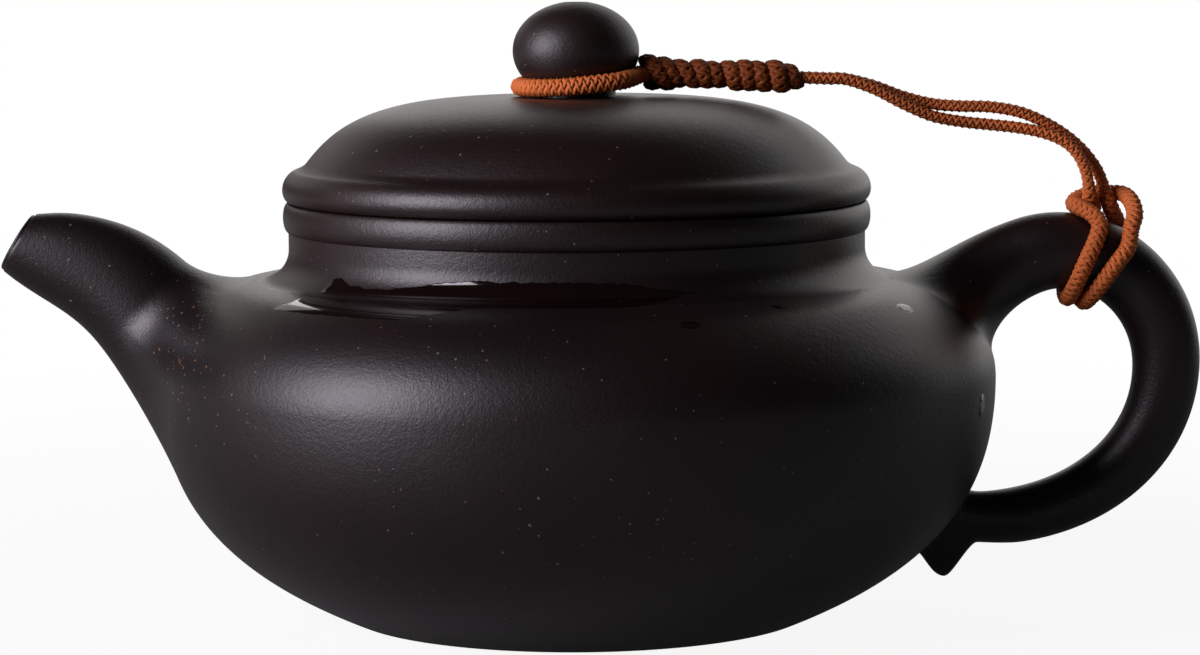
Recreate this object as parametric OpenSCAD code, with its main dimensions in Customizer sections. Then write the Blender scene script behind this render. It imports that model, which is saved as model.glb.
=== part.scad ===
// Round clay teapot with a lift-off lid that a braided cord ties to the handle.
// Millimetres. The origin is the middle of the base, +Z is up, the spout points to -X and the handle to +X.

/* [Pot body] */
// Radius of the flat base that the pot stands on
base_r = 28.4; // [25:0.1:31]
// Largest radius of the belly
belly_r = 50.7; // [48:0.1:54]
// Height at which the belly is widest
belly_z = 29; // [27:0.5:31]
// Angle at which the belly leaves the base
base_flare = 23.5; // [18:0.5:28]
// Height of the shoulder at the foot of the neck
shoulder_z = 41.8; // [40:0.2:44]
// Distance from the foot of the neck out to the seam between the belly wall and the shoulder disc
seam_out = 4.2; // [3.2:0.2:5.2]
// Thickness of the clay wall
wall = 3; // [2.4:0.1:3.6]

/* [Neck and mouth] */
// Inner radius of the neck and the mouth
mouth_r = 31.4; // [30:0.1:32]
// Thickness of the neck
neck_wall = 3.5; // [2.8:0.1:4]
// Height of the neck from the shoulder to the mouth bead
neck_h = 4.9; // [4:0.1:7]
// Radius of the hollow curve between the shoulder and the neck
neck_fillet = 1.9; // [1:0.1:2.4]
// Height of the bead round the mouth
bead_h = 3.5; // [2.5:0.1:4.5]
// How far the bead stands out from the neck
bead_out = 0.65; // [0.4:0.05:1.2]

/* [Lid] */
// Gap between the lid and the mouth that it rests on
seat_gap = 0.1; // [0.05:0.05:0.2]
// Height of the rounded rim of the lid
rim_h = 3.9; // [3:0.1:5]
// How far inside the edge of the rim the dome springs
dome_step = 2.4; // [1.8:0.1:3]
// Height of the dome above the rim
dome_h = 8.5; // [7:0.1:11]
// Thickness of the dome
dome_wall = 3; // [2.4:0.1:3.6]
// How far the flange reaches down into the neck
flange_depth = 6.5; // [5:0.5:9]
// Thickness of the flange
flange_wall = 2.8; // [2:0.1:3.2]
// Gap all round between the flange and the neck
flange_gap = 0.4; // [0.3:0.05:0.8]

/* [Knob] */
// Largest radius of the knob
knob_r = 7.65; // [7:0.05:8]
// Height of the knob above the dome
knob_h = 11.5; // [10.8:0.1:12.2]
// Radius of the stem that the cord goes round
stem_r = 4.8; // [4:0.1:5.2]
// Radius of the steam vent
vent_r = 1; // [0.7:0.1:1.5]

/* [Spout] */
// Distance that the middle of the spout's throat stands out from the belly
spout_throat_out = 2.35; // [1.5:0.05:4]
// Height of the throat above the widest part of the belly
spout_throat_up = 9; // [7:0.25:11]
// Horizontal distance from the throat to the tip
spout_reach = 15; // [12:0.5:19]
// Rise from the throat to the tip
spout_rise = 7.5; // [6:0.1:11]
// Outer radius at the throat
spout_throat_r = 7.5; // [6.8:0.1:8.2]
// Outer radius at the tip
spout_tip_r = 3.8; // [3.4:0.1:4.6]
// Thickness of the clay at the tip
spout_tip_wall = 1.2; // [0.9:0.1:1.5]
// Thickness of the clay at the throat
spout_throat_wall = 2.1; // [1.6:0.1:2.6]
// Half the width of the spout's foot on the belly
spout_foot_half = 15; // [12:0.5:18]

/* [Strainer] */
// Outer radius of the strainer's skirt
strainer_r = 6.9; // [6:0.1:7.5]
// Thickness of the strainer
strainer_wall = 1.6; // [1.2:0.1:2]
// Gap between the strainer and the hole in the belly
strainer_gap = 0.1; // [0.05:0.05:0.2]
// Radius of each hole in the strainer
strainer_hole_r = 0.9; // [0.6:0.1:1.1]

/* [Handle] */
// Distance from the belly to the middle of the handle where it bows out most
handle_reach = 21; // [18:0.5:25]
// Height of the handle's middle where it leaves the shoulder
handle_top_z = 43; // [41:0.2:45]
// Height at which the handle bows out most
handle_bow_z = 30; // [28:0.5:32]
// Height of the handle's middle where it comes back to the belly
handle_foot_z = 11.4; // [10:0.2:13]
// Half the height of the handle's section at the top
handle_top_half = 4.75; // [4.2:0.05:5.2]
// Half the height of the handle's section at the foot
handle_foot_half = 3.4; // [3:0.05:4]
// Width of the handle's section as a share of its height
handle_width_share = 0.94; // [0.8:0.02:1.1]
// Length of the tail pinched out under the handle's foot
tail_len = 4.4; // [2:0.2:5]

/* [Cord] */
// Thickness of the cord
cord_d = 1.5; // [1.2:0.1:1.6]
// Thickness of the cord wound round the two strands
whip_d = 1.3; // [1:0.05:1.4]
// Turns of the winding
whip_turns = 10; // [6:1:12]
// Distance from turn to turn of the winding
whip_pitch = 1.8; // [1.75:0.05:2]
// Gap between the winding and the strands inside it
whip_gap = 0.13; // [0.1:0.01:0.2]

/* [Hidden] */
$fn = 96;
clay = [0.13, 0.10, 0.09];
cord_brown = [0.55, 0.22, 0.08];

// Thin gap left by the slip between two luted pieces, and the height of the lip that ends a luted foot
slip_gap = 0.1;
foot_lip = 0.3;

// Straight lines, arcs and curves

// A point of the cubic curve through a and d that b and c pull at
function cubic(a, b, c, d, t) =
    a*pow(1 - t, 3) + 3*b*pow(1 - t, 2)*t + 3*c*(1 - t)*t*t + d*t*t*t;
// Direction of that curve
function cubic_way(a, b, c, d, t) =
    3*(b - a)*pow(1 - t, 2) + 6*(c - b)*(1 - t)*t + 3*(d - c)*t*t;
// A point of the curve that leaves a along va and reaches b along vb
function bridge(a, va, b, vb, t) = cubic(a, a + va/3, b - vb/3, b, t);
function unit(v) = v/norm(v);
function mix(a, b, t) = a + (b - a)*t;
function smooth(t) = let (s = min(max(t, 0), 1)) s*s*(3 - 2*s);
// Points of an arc of an ellipse in a profile, from angle a0 to a1
function arc(centre, rx, rz, a0, a1, n) =
    [for (i = [0:n]) let (a = mix(a0, a1, i/n)) centre + [rx*cos(a), rz*sin(a)]];

// Profile of the belly: u runs from 0 at the base, through 1 at the widest part, to 2 at the crown

base_pull = 18;
hip_pull = 13.2;
crown_in = 1.6;
crown_r = mouth_r + crown_in;
neck_r = mouth_r + neck_wall;
neck_foot_r = neck_r + neck_fillet;
shoulder_seam_r = neck_foot_r + seam_out;
crown_z = belly_z + (shoulder_z - belly_z)/sqrt(1 - pow((neck_foot_r - crown_r)/(belly_r - crown_r), 2));

function belly_low(t) = cubic(
    [base_r, 0], [base_r + base_pull*cos(base_flare), base_pull*sin(base_flare)],
    [belly_r, belly_z - hip_pull], [belly_r, belly_z], t);
function belly_high(t) =
    [crown_r + (belly_r - crown_r)*cos(90*t), belly_z + (crown_z - belly_z)*sin(90*t)];
function belly(u) = u < 1 ? belly_low(u) : belly_high(u - 1);
// Outward normal of the profile
function belly_out(u) =
    let (e = 0.002, d = belly(u + e) - belly(max(u - e, 0))) unit([d.y, -d.x]);
// Place on the belly where the profile reaches radius r on the shoulder
function shoulder_u(r) = 1 + acos((r - crown_r)/(belly_r - crown_r))/90;
function inner(u) = belly(u) - wall*belly_out(u);

// A point of the belly's surface at azimuth az, lifted off it, and its directions
function on_belly(az, u, lift = 0) =
    let (p = belly(u) + lift*belly_out(u)) [p.x*cos(az), p.x*sin(az), p.y];
function belly_normal(az, u) = let (n = belly_out(u)) [n.x*cos(az), n.x*sin(az), n.y];

seam_share = shoulder_u(shoulder_seam_r);
neck_foot_share = shoulder_u(neck_foot_r);
profile_steps = 30;
shoulder_steps = 8;
mouth_z = shoulder_z + neck_h + bead_h;

// Solids made of rings of points

// Closed solid whose rings run from one end to the other; looped joins the last ring to the first
module skin(rings, looped = false) {
    n = len(rings);
    m = len(rings[0]);
    last = looped ? n - 1 : n - 2;
    sides = [
        for (i = [0:last], j = [0:m - 1])
            let (a = i*m + j, b = i*m + (j + 1)%m, c = ((i + 1)%n)*m + (j + 1)%m, d = ((i + 1)%n)*m + j)
                each [[a, b, c], [a, c, d]]
    ];
    ends = looped ? [] : [[for (j = [m - 1:-1:0]) j], [for (j = [0:m - 1]) (n - 1)*m + j]];
    polyhedron([for (r = rings) each r], concat(sides, ends), convexity = 6);
}

// A ring round centre c in the plane of the directions a and b, with its half sizes along them
function ring(c, a, b, ha, hb, m) =
    [for (j = [0:m - 1]) let (t = 360*j/m) c + ha*cos(t)*a + hb*sin(t)*b];

// Foot of a luted piece on the belly: an egg shape between the heights u_low and u_high
function foot_u(u_low, u_high, t) = mix(u_low, u_high, (1 + cos(t))/2);
function foot_az(az, half, u, t, side) = az + side*asin(half/belly(u).x)*sin(t);
function foot_ring(az, u_low, u_high, half, side, lift, m) = [
    for (j = [0:m - 1])
        let (t = 360*j/m, u = foot_u(u_low, u_high, t))
            on_belly(foot_az(az, half, u, t, side), u, lift)
];
// The same foot drawn in towards another foot, staying on the belly
function drawn_in(a, b, k, az, side, lift, m) =
    foot_ring(az, mix(a[0], b[0], k), mix(a[1], b[1], k), mix(a[2], b[2], k), side, lift, m);

// Curved skirt from a free ring to its foot on the belly, leaving the ring along way
function skirt(from, way, foot, az, u_low, u_high, half, side, pull, n) =
    let (m = len(from), u_mid = (u_low + u_high)/2, middle = on_belly(az, u_mid))
    [
        for (i = [1:n]) [
            for (j = [0:m - 1])
                let (
                    t = 360*j/m,
                    u = foot_u(u_low, u_high, t),
                    normal = belly_normal(foot_az(az, half, u, t, side), u),
                    away = foot[j] - middle,
                    along = unit(away - (away*normal)*normal - 0.12*normal),
                    far = norm(foot[j] - from[j])
                )
                    bridge(from[j], pull*far*way, foot[j], pull*far*along, i/n)
        ]
    ];

// Pot body

module base_disc() {
    seat = inner(0);
    color(clay) rotate_extrude() polygon([[0, 0], [base_r, 0], seat, [0, seat.y]]);
}

module belly_wall() {
    steps = [for (i = [0:profile_steps]) seam_share*i/profile_steps];
    color(clay) difference() {
        rotate_extrude()
            polygon(concat([for (u = steps) belly(u)], [for (i = [profile_steps:-1:0]) inner(steps[i])]));
        at_strainer() cylinder(h = 6*wall, r = strainer_r + strainer_gap, center = true);
    }
}

module shoulder_disc() {
    steps = [for (i = [0:shoulder_steps]) mix(seam_share, neck_foot_share, i/shoulder_steps)];
    under_z = inner(neck_foot_share).y;
    color(clay) rotate_extrude()
        polygon(concat(
            [for (u = steps) belly(u)], [[mouth_r, shoulder_z], [mouth_r, under_z]],
            [for (i = [shoulder_steps:-1:0]) inner(steps[i])]));
}

module neck_ring() {
    top = shoulder_z + neck_h;
    fillet = arc([neck_foot_r, shoulder_z + neck_fillet], neck_fillet, neck_fillet, 270, 180, 10);
    color(clay) rotate_extrude()
        polygon(concat([[mouth_r, shoulder_z]], fillet, [[neck_r, top], [mouth_r, top]]));
}

module mouth_bead() {
    low = shoulder_z + neck_h;
    swell = arc([neck_r, low + bead_h/2], bead_out, bead_h/2, -80, 75, 14);
    color(clay) rotate_extrude()
        polygon(concat([[mouth_r, low], [neck_r, low]], swell, [[neck_r, mouth_z], [mouth_r, mouth_z]]));
}

// Spout

spout_az = 180;
spout_sides = 28;
spout_low_share = 0.7;
spout_below_neck = 2.7;
spout_high_share = shoulder_u(neck_foot_r + spout_below_neck);
throat = [-belly_r - spout_throat_out, 0, belly_z + spout_throat_up];
tip = throat + [-spout_reach, 0, spout_rise];
throat_rise = 46;
tip_rise = 20;
cut_rise = 31;
throat_pull = 7;
tip_pull = 5;
side_way = [0, -1, 0];

function rising(a) = [-cos(a), 0, sin(a)];
function spout_mid(t) =
    cubic(throat, throat + throat_pull*rising(throat_rise), tip - tip_pull*rising(tip_rise), tip, t);
// The rings stand square to the spout, and turn to the slanted cut near the tip
function spout_turn(t) = mix(mix(throat_rise, tip_rise, t), cut_rise, smooth((t - 0.6)/0.4));
function spout_r(t) = mix(spout_throat_r, spout_tip_r, 0.55*t + 0.45*t*t*t);
function spout_clay(t) = mix(spout_throat_wall, spout_tip_wall, t);
function spout_ring(t, r) =
    let (a = spout_turn(t)) ring(spout_mid(t), [sin(a), 0, cos(a)], side_way, r, r, spout_sides);

bore_half = 5.8;
bore_low_share = 1.03;
bore_high_share = 1.5;

module spout() {
    n = 12;
    foot_n = 9;
    seat_n = 4;
    outside = [for (i = [n:-1:0]) spout_ring(i/n, spout_r(i/n))];
    foot = foot_ring(spout_az, spout_low_share, spout_high_share, spout_foot_half, 1, foot_lip, spout_sides);
    flare = skirt(outside[n], -rising(throat_rise), foot, spout_az,
        spout_low_share, spout_high_share, spout_foot_half, 1, 0.8, foot_n);
    seat = [
        for (i = [0:seat_n])
            drawn_in([spout_low_share, spout_high_share, spout_foot_half],
                [bore_low_share, bore_high_share, bore_half], i/seat_n, spout_az, 1, slip_gap, spout_sides)
    ];
    inside = [for (i = [0:n]) spout_ring(i/n, spout_r(i/n) - spout_clay(i/n))];
    color(clay) skin(concat(outside, flare, seat, inside), looped = true);
}

// Strainer: a pierced thimble set in a round hole behind the spout

strainer_share = (bore_low_share + bore_high_share)/2;
strainer_rise = 33;
skirt_out = 2.9;
skirt_in = 4.6;

module at_strainer() {
    translate(on_belly(spout_az, strainer_share)) rotate([0, -90 + strainer_rise, 0]) children();
}

module strainer() {
    color(clay) at_strainer() difference() {
        rotate_extrude() difference() {
            thimble(strainer_r, skirt_in - skirt_out);
            thimble(strainer_r - strainer_wall, skirt_in);
        }
        translate([0, 0, -skirt_in]) {
            strainer_hole(0, 0);
            for (i = [0:5]) strainer_hole(28, 60*i);
            for (i = [0:11]) strainer_hole(56, 30*i);
        }
    }
}

// Half of a thimble's outline: a quarter circle below its skirt
module thimble(r, skirt_h) {
    translate([0, -skirt_in]) {
        intersection() {
            circle(r = r);
            translate([0, -r]) square(r);
        }
        square([r, skirt_h]);
    }
}

// One hole that leaves the middle of the thimble at an angle from its axis
drill_before = 0.6;
drill_past = 1.4;
module strainer_hole(lean, turn) {
    start = strainer_r - strainer_wall - drill_before;
    rotate([180 - lean, 0, turn]) translate([0, 0, start])
        cylinder(h = drill_before + strainer_wall + drill_past, r = strainer_hole_r);
}

// Handle

handle_sides = 20;
handle_az = 0;
top_low_share = 1.12;
handle_below_neck = 1.2;
top_high_share = shoulder_u(neck_foot_r + handle_below_neck);
top_foot_half = 6.2;
end_low_share = 0.285;
end_high_share = 0.6;
end_foot_half = 3.6;
root_out = 3.8;
bow_x = belly_r + handle_reach;
handle_start = [belly_r + root_out, 0, handle_top_z];
handle_bow = [bow_x, 0, handle_bow_z];
handle_end = [belly_r + root_out - 0.5, 0, handle_foot_z];
start_way = unit([9, 0, 3.4]);
end_way = unit([-9.5, 0, -1.7]);

function handle_mid(t) = t < 1
    ? cubic(handle_start, handle_start + 8.8*start_way, handle_bow + [0, 0, 9.5], handle_bow, t)
    : cubic(handle_bow, handle_bow - [0, 0, 9.5], handle_end - 10.5*end_way, handle_end, t - 1);
function handle_way(t) = unit(t < 1
    ? cubic_way(handle_start, handle_start + 8.8*start_way, handle_bow + [0, 0, 9.5], handle_bow, t)
    : cubic_way(handle_bow, handle_bow - [0, 0, 9.5], handle_end - 10.5*end_way, handle_end, t - 1));
function handle_half(t) = mix(handle_top_half, handle_foot_half, t/2);
// The section's first direction points out of the loop, so that it is up at the top and down at the foot
function handle_out(t) = let (w = handle_way(t)) [-w.z, 0, w.x];
function handle_ring(t) =
    let (h = handle_half(t))
        ring(handle_mid(t), handle_out(t), -side_way, h, h*handle_width_share, handle_sides);

// The tail is pinched out of the underside just before the handle meets the belly
tail_at = 0.64;
tail_spread = 0.34;
tail_way = unit([-0.25, 0, -1]);
function pinch(k, t) = tail_len*pow(max(cos(t), 0), 3)*smooth(1 - abs(k - tail_at)/tail_spread);

module handle() {
    n = 26;
    top_n = 7;
    end_n = 12;
    rings = [for (i = [0:n]) handle_ring(2*i/n)];
    top_foot = foot_ring(handle_az, top_low_share, top_high_share, top_foot_half, 1, foot_lip, handle_sides);
    end_foot = foot_ring(handle_az, end_high_share, end_low_share, end_foot_half, 1, foot_lip, handle_sides);
    top_skirt = skirt(rings[0], -start_way, top_foot, handle_az,
        top_low_share, top_high_share, top_foot_half, 1, 0.7, top_n);
    end_skirt = skirt(rings[n], end_way, end_foot, handle_az,
        end_high_share, end_low_share, end_foot_half, 1, 0.9, end_n);
    tailed = [
        for (i = [0:end_n - 1])
            [for (j = [0:handle_sides - 1])
                end_skirt[i][j] + tail_way*pinch((i + 1)/end_n, 360*j/handle_sides)]
    ];
    color(clay) skin(concat(
        foot_seat([top_low_share, top_high_share, top_foot_half], 0),
        [for (i = [top_n - 1:-1:0]) top_skirt[i]], rings, tailed,
        foot_seat([end_high_share, end_low_share, end_foot_half], 1)));
}

// Underside of a solid foot, drawn in to a small ring in its middle; backwards runs from the middle out
function foot_seat(foot, backwards) =
    let (steps = 3, mid_u = (foot[0] + foot[1])/2, small = 0.02)
    [
        for (i = [0:steps])
            let (k = (1 - small)*(backwards ? i : steps - i)/steps)
                drawn_in(foot, [mid_u, mid_u, 0], k, handle_az, 1, slip_gap, handle_sides)
    ];

// Lid

lid_z = mouth_z + seat_gap;
rim_past = 0.05;
rim_r = neck_r + bead_out + rim_past;
dome_r = rim_r - dome_step;
flange_r = mouth_r - flange_gap;
dome_z = lid_z + rim_h;
dome_top = dome_z + dome_h;
dome_flat_r = 10;

module lid_rim() {
    mid = lid_z + 0.36*rim_h;
    below = arc([rim_r - 0.9, mid], 0.9, 0.36*rim_h, -75, 0, 6);
    above = arc([dome_r, mid], rim_r - dome_r, dome_z - mid, 0, 88, 12);
    color(clay) rotate_extrude()
        polygon(concat([[flange_r - flange_wall, lid_z], [rim_r - 0.9, lid_z]], below, above,
            [[flange_r - flange_wall, dome_z]]));
}

function dome_out(t) = cubic([dome_r, dome_z], [dome_r - 3.2, dome_z + 4.3], [dome_r - 7.2, dome_top],
    [dome_flat_r, dome_top], t);
function dome_in(t) = cubic([dome_r - 1.2*dome_wall, dome_z], [dome_r - 3.2 - dome_wall, dome_z + 3],
    [dome_r - 8 - dome_wall, dome_top - dome_wall], [dome_flat_r, dome_top - dome_wall], t);

module lid_dome() {
    n = 24;
    color(clay) rotate_extrude()
        polygon(concat([for (i = [0:n]) dome_out(i/n)],
            [[vent_r, dome_top], [vent_r, dome_top - dome_wall]], [for (i = [n:-1:0]) dome_in(i/n)]));
}

module lid_flange() {
    low = lid_z - flange_depth;
    lead = 0.5;
    color(clay) rotate_extrude()
        polygon([[flange_r - flange_wall, low], [flange_r - lead, low], [flange_r, low + lead],
            [flange_r, lid_z], [flange_r - flange_wall, lid_z]]);
}

knob_mid_z = dome_top + knob_h/2 - 0.2;
knob_half = knob_h/2 + 0.2;

module knob() {
    neck_angle = -acos((stem_r + 0.4)/knob_r);
    ball = arc([0, knob_mid_z], knob_r, knob_half, neck_angle, acos(vent_r/knob_r), 28);
    color(clay) rotate_extrude()
        polygon(concat([[vent_r, dome_top], [stem_r, dome_top], [stem_r, ball[0].y - 0.4]], ball));
}

// Cord: one length that loops round the knob's stem, runs through the winding and ties round the handle

cord_z = 65.6;
cord_dip = 0.04;
strand_y = 1;
straight_end = 32.6;
run_start = 9;
function run_z(x) = cord_z - cord_dip*(x - run_start);
noose_r = 7.2;
noose_z = 64.1;
noose_lift = 1;
noose_widen = 1.34;

// The loop round the stem rises and widens towards the winding
noose_arc = [
    for (i = [0:14])
        let (az = mix(-45.5, -314.5, i/14), k = pow((1 + cos(az))/2, 2), r = noose_r + noose_widen*k)
            [r*cos(az) - 0.3, r*sin(az), noose_z + noose_lift*k]
];
front_run = [for (x = [straight_end, 30.6, 28.6, 24.6, 20.6, 16.6, 13, 10.4]) [x, -strand_y, run_z(x)]];
back_run = [for (x = [10.4, 13, 16.6, 20.6, 24.6, 28.6, 30.6, straight_end]) [x, strand_y, run_z(x)]];
front_turn = [[8.9, -1.36, 65.6], [7.7, -2.48, 65.33]];
back_turn = [[7.7, 2.48, 65.33], [8.9, 1.36, 65.6]];

// The two strands from the winding to the top of the handle
outer_run = [
    [36, 1, 63.8], [39.5, 1, 62.5], [43, 0.8, 61.6], [46.5, 0.4, 61.3], [50, 0.3, 61.2], [53.5, 0.4, 60.6],
    [56.5, 0.7, 59.4], [59.2, 1, 57.8], [61.3, 1, 56], [62.9, 1, 54], [63.7, 1, 52.4]
];
outer_end = [64.1, 1, 51];
inner_end = [62.1, -0.6, 50.9];
inner_run = [
    [61.9, -0.8, 52.3], [61.5, -0.8, 53.8], [60.7, -0.8, 55.4], [59.2, -0.8, 56.9], [56.8, -0.8, 58],
    [53.5, -0.6, 58.7], [50, -0.5, 59.1], [46.5, -0.6, 59.5], [43, -0.8, 60.2], [39.5, -1, 61.7],
    [36, -1, 63.5]
];

// The hitch goes round the handle here
hitch_at = 0.33;
hitch_gap = 0.35;
// A place round the handle, s further along it: angle 0 is on top, 90 behind, 180 inside and 270 in front
handle_stretch = 25;
function round_handle(s, a) =
    let (t = hitch_at + s/handle_stretch, over = cord_d/2 + hitch_gap, h = handle_half(t))
        handle_mid(t) + cos(a)*(h + over)*handle_out(t) + sin(a)*(h*handle_width_share + over)*[0, 1, 0];
// The turns lean, so that they sit nearer the pot inside the loop of the handle
function turn_round(s0, s1, a0, a1, lean, n) = [
    for (i = [0:n])
        let (a = mix(a0, a1, i/n)) round_handle(mix(s0, s1, i/n) - lean*(1 - cos(a))/2, a)
];

right_turn = turn_round(1.8, 2.9, 36, 300, 0.9, 12);
left_turn = turn_round(-0.2, -1, 290, 36, 1.8, 12);
bight = [
    [66.8, -3.8, 46.8], [67.4, -2.4, 48.3], [67.2, -0.6, 49.7], [66.4, 1.6, 50.5], [64.8, 3.3, 50.5],
    [62.9, 3.5, 50.4], [61.2, 2.5, 49.9], [60.4, 0.6, 49.4], [60.8, -1.3, 49.1], [62, -2.9, 48.5],
    [62.9, -4.2, 47.2]
];
down_outer = [[64.6, 1.1, 49.7], [65.2, 1.8, 48.3]];
up_inner = [[62.8, 1.4, 48.9], [62.4, 0.2, 49.8]];

// The whole cord as a list of stretches; each stretch is a node or part of one
stretches = [
    concat(front_run, front_turn, noose_arc, back_turn, back_run),
    outer_run,
    concat([outer_end], down_outer, right_turn, bight, left_turn, up_inner, [inner_end]),
    inner_run
];
route = [for (s = stretches) each s];
function first_of(k) = k == 0 ? 0 : first_of(k - 1) + len(stretches[k - 1]);

// Smooth closed curve through the route's points, with two rings to each step
cord_steps = 2;
cord_sides = 8;
function route_at(i) = route[(i + len(route))%len(route)];
function cord_point(i, t) =
    let (a = route_at(i - 1), b = route_at(i), c = route_at(i + 1), d = route_at(i + 2))
        bridge(b, (c - a)/2, c, (d - b)/2, t);
cord_line = [for (i = [0:len(route) - 1], k = [0:cord_steps - 1]) cord_point(i, k/cord_steps)];
cord_n = len(cord_line);
function along(line, i, closed) =
    let (n = len(line), a = closed ? (i + n - 1)%n : max(i - 1, 0),
        b = closed ? (i + 1)%n : min(i + 1, n - 1))
        unit(line[b] - line[a]);
// Directions across a line that turn as little as they can from ring to ring
function across(line, closed, first) = [
    for (i = 0, v = first; i < len(line);
        i = i + 1, v = i < len(line) ? let (w = along(line, i, closed)) unit(v - (v*w)*w) : v) v
];
cord_across = across(cord_line, true, [0, 1, 0]);

function tube_rings(line, sides_of, closed, from, to, r, m) = [
    for (i = [from:to])
        let (k = i%len(line), w = along(line, k, closed), a = sides_of[k])
            ring(line[k], a, cross(w, a), r, r, m)
];

module cord_piece(from, to) {
    color(cord_brown) skin(tube_rings(cord_line, cord_across, true, from, to, cord_d/2, cord_sides));
}
noose_first = 0;
noose_last = cord_steps*(first_of(1) - 1);
hitch_first = cord_steps*first_of(2);
hitch_last = cord_steps*(first_of(3) - 1);
module cord_noose() { cord_piece(noose_first, noose_last); }
module cord_strand_outer() { cord_piece(noose_last, hitch_first); }
module cord_hitch() { cord_piece(hitch_first, hitch_last); }
module cord_strand_inner() { cord_piece(hitch_last, cord_n); }

// Winding: the cord's own end wound round the two strands

whip_start = 9.5;
whip_rings = 24;
whip_sides = 6;
whip_r = cord_d/2 + whip_gap + whip_d/2;
whip_n = whip_turns*whip_rings;
// Share of the strands' spread: the turns are round at the two strands and flat between them
function spread(s) = s < 0 ? -spread(-s) : 1 - pow(1 - s, 3);
function whip_at(i) =
    let (a = 180 + 360*i/whip_rings, x = whip_start + whip_pitch*i/whip_rings)
        [x, -whip_r*sin(a) - strand_y*spread(sin(a)), run_z(x) + whip_r*cos(a)];
// Each end runs straight on for one thickness
whip_line = concat(
    [whip_at(0) + whip_d*unit(whip_at(0) - whip_at(1))], [for (i = [0:whip_n]) whip_at(i)],
    [whip_at(whip_n) + whip_d*unit(whip_at(whip_n) - whip_at(whip_n - 1))]);

module cord_whipping() {
    sides_of = across(whip_line, false, [1, 0, 0]);
    color(cord_brown)
        skin(tube_rings(whip_line, sides_of, false, 0, len(whip_line) - 1, whip_d/2, whip_sides));
}

// Least gap between parts of a wound line that are at least skip points apart
function least_gap(line, skip, d, closed) = min([
    for (i = [0:len(line) - 1], j = [i + skip:1:len(line) - 1])
        if (!closed || len(line) - j + i >= skip) norm(line[i] - line[j]) - d
]);
echo(winding_gap = least_gap(whip_line, whip_rings/2, whip_d, false));
echo(cord_gap = least_gap(cord_line, 5, cord_d, true));

base_disc();
belly_wall();
shoulder_disc();
neck_ring();
mouth_bead();
spout();
strainer();
handle();
lid_rim();
lid_dome();
lid_flange();
knob();
cord_noose();
cord_whipping();
cord_strand_outer();
cord_strand_inner();
cord_hitch();
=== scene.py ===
import math

import bmesh
import bpy
import numpy as np
from mathutils import Matrix, Vector


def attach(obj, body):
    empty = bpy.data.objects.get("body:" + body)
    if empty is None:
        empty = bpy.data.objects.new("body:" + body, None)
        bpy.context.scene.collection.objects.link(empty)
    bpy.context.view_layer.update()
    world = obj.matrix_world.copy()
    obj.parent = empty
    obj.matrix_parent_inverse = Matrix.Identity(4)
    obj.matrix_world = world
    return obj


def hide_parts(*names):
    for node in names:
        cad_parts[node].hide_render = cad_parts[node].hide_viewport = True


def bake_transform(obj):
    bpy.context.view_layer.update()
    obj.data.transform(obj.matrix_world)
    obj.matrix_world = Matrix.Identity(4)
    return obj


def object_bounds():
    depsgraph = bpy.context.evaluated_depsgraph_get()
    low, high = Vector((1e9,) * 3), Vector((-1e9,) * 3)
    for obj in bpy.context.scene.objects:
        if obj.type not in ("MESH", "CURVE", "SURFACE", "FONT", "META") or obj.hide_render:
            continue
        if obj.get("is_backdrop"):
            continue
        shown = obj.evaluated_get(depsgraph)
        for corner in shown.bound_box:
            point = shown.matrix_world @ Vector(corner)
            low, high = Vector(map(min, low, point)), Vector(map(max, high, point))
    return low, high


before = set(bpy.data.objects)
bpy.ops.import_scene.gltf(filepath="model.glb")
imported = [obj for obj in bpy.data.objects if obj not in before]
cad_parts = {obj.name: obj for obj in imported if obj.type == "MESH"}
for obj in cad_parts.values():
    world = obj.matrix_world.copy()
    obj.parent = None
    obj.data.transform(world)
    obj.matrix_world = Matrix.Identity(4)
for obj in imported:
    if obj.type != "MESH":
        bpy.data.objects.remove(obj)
CAD_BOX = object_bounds()

bl_info = {
    "name": "Clay teapot with a tied lid",
    "version": (1, 0, 0),
    "blender": (4, 5, 0),
    "location": "View3D > Sidebar > Teapot",
    "description": "Dresses the packed teapot: turned clay, a thrown spout and handle, and a braided cord",
    "category": "Object",
}

MM = 0.001

# Points closer than this are one point
TINY = 1e-7
# Edges that turn by more than this are shaded as corners
CORNER = math.radians(38)
ACROSS = np.array([0, 1.0, 0])


# Sizes and colours that a user would change


def size(name, description, millimetres):
    return bpy.props.FloatProperty(
        name=name, description=description, default=millimetres * MM, min=0.0, unit="LENGTH", precision=5)


def angle(name, description, degrees):
    return bpy.props.FloatProperty(
        name=name, description=description, default=math.radians(degrees), unit="ROTATION")


def share(name, description, value):
    return bpy.props.FloatProperty(
        name=name, description=description, default=value, min=0.0, max=2.0, subtype="FACTOR")


def count(name, description, value):
    return bpy.props.IntProperty(name=name, description=description, default=value, min=1)


def tint(name, description, value):
    return bpy.props.FloatVectorProperty(
        name=name, description=description, default=value, size=3, min=0.0, max=1.0, subtype="COLOR")


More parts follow.
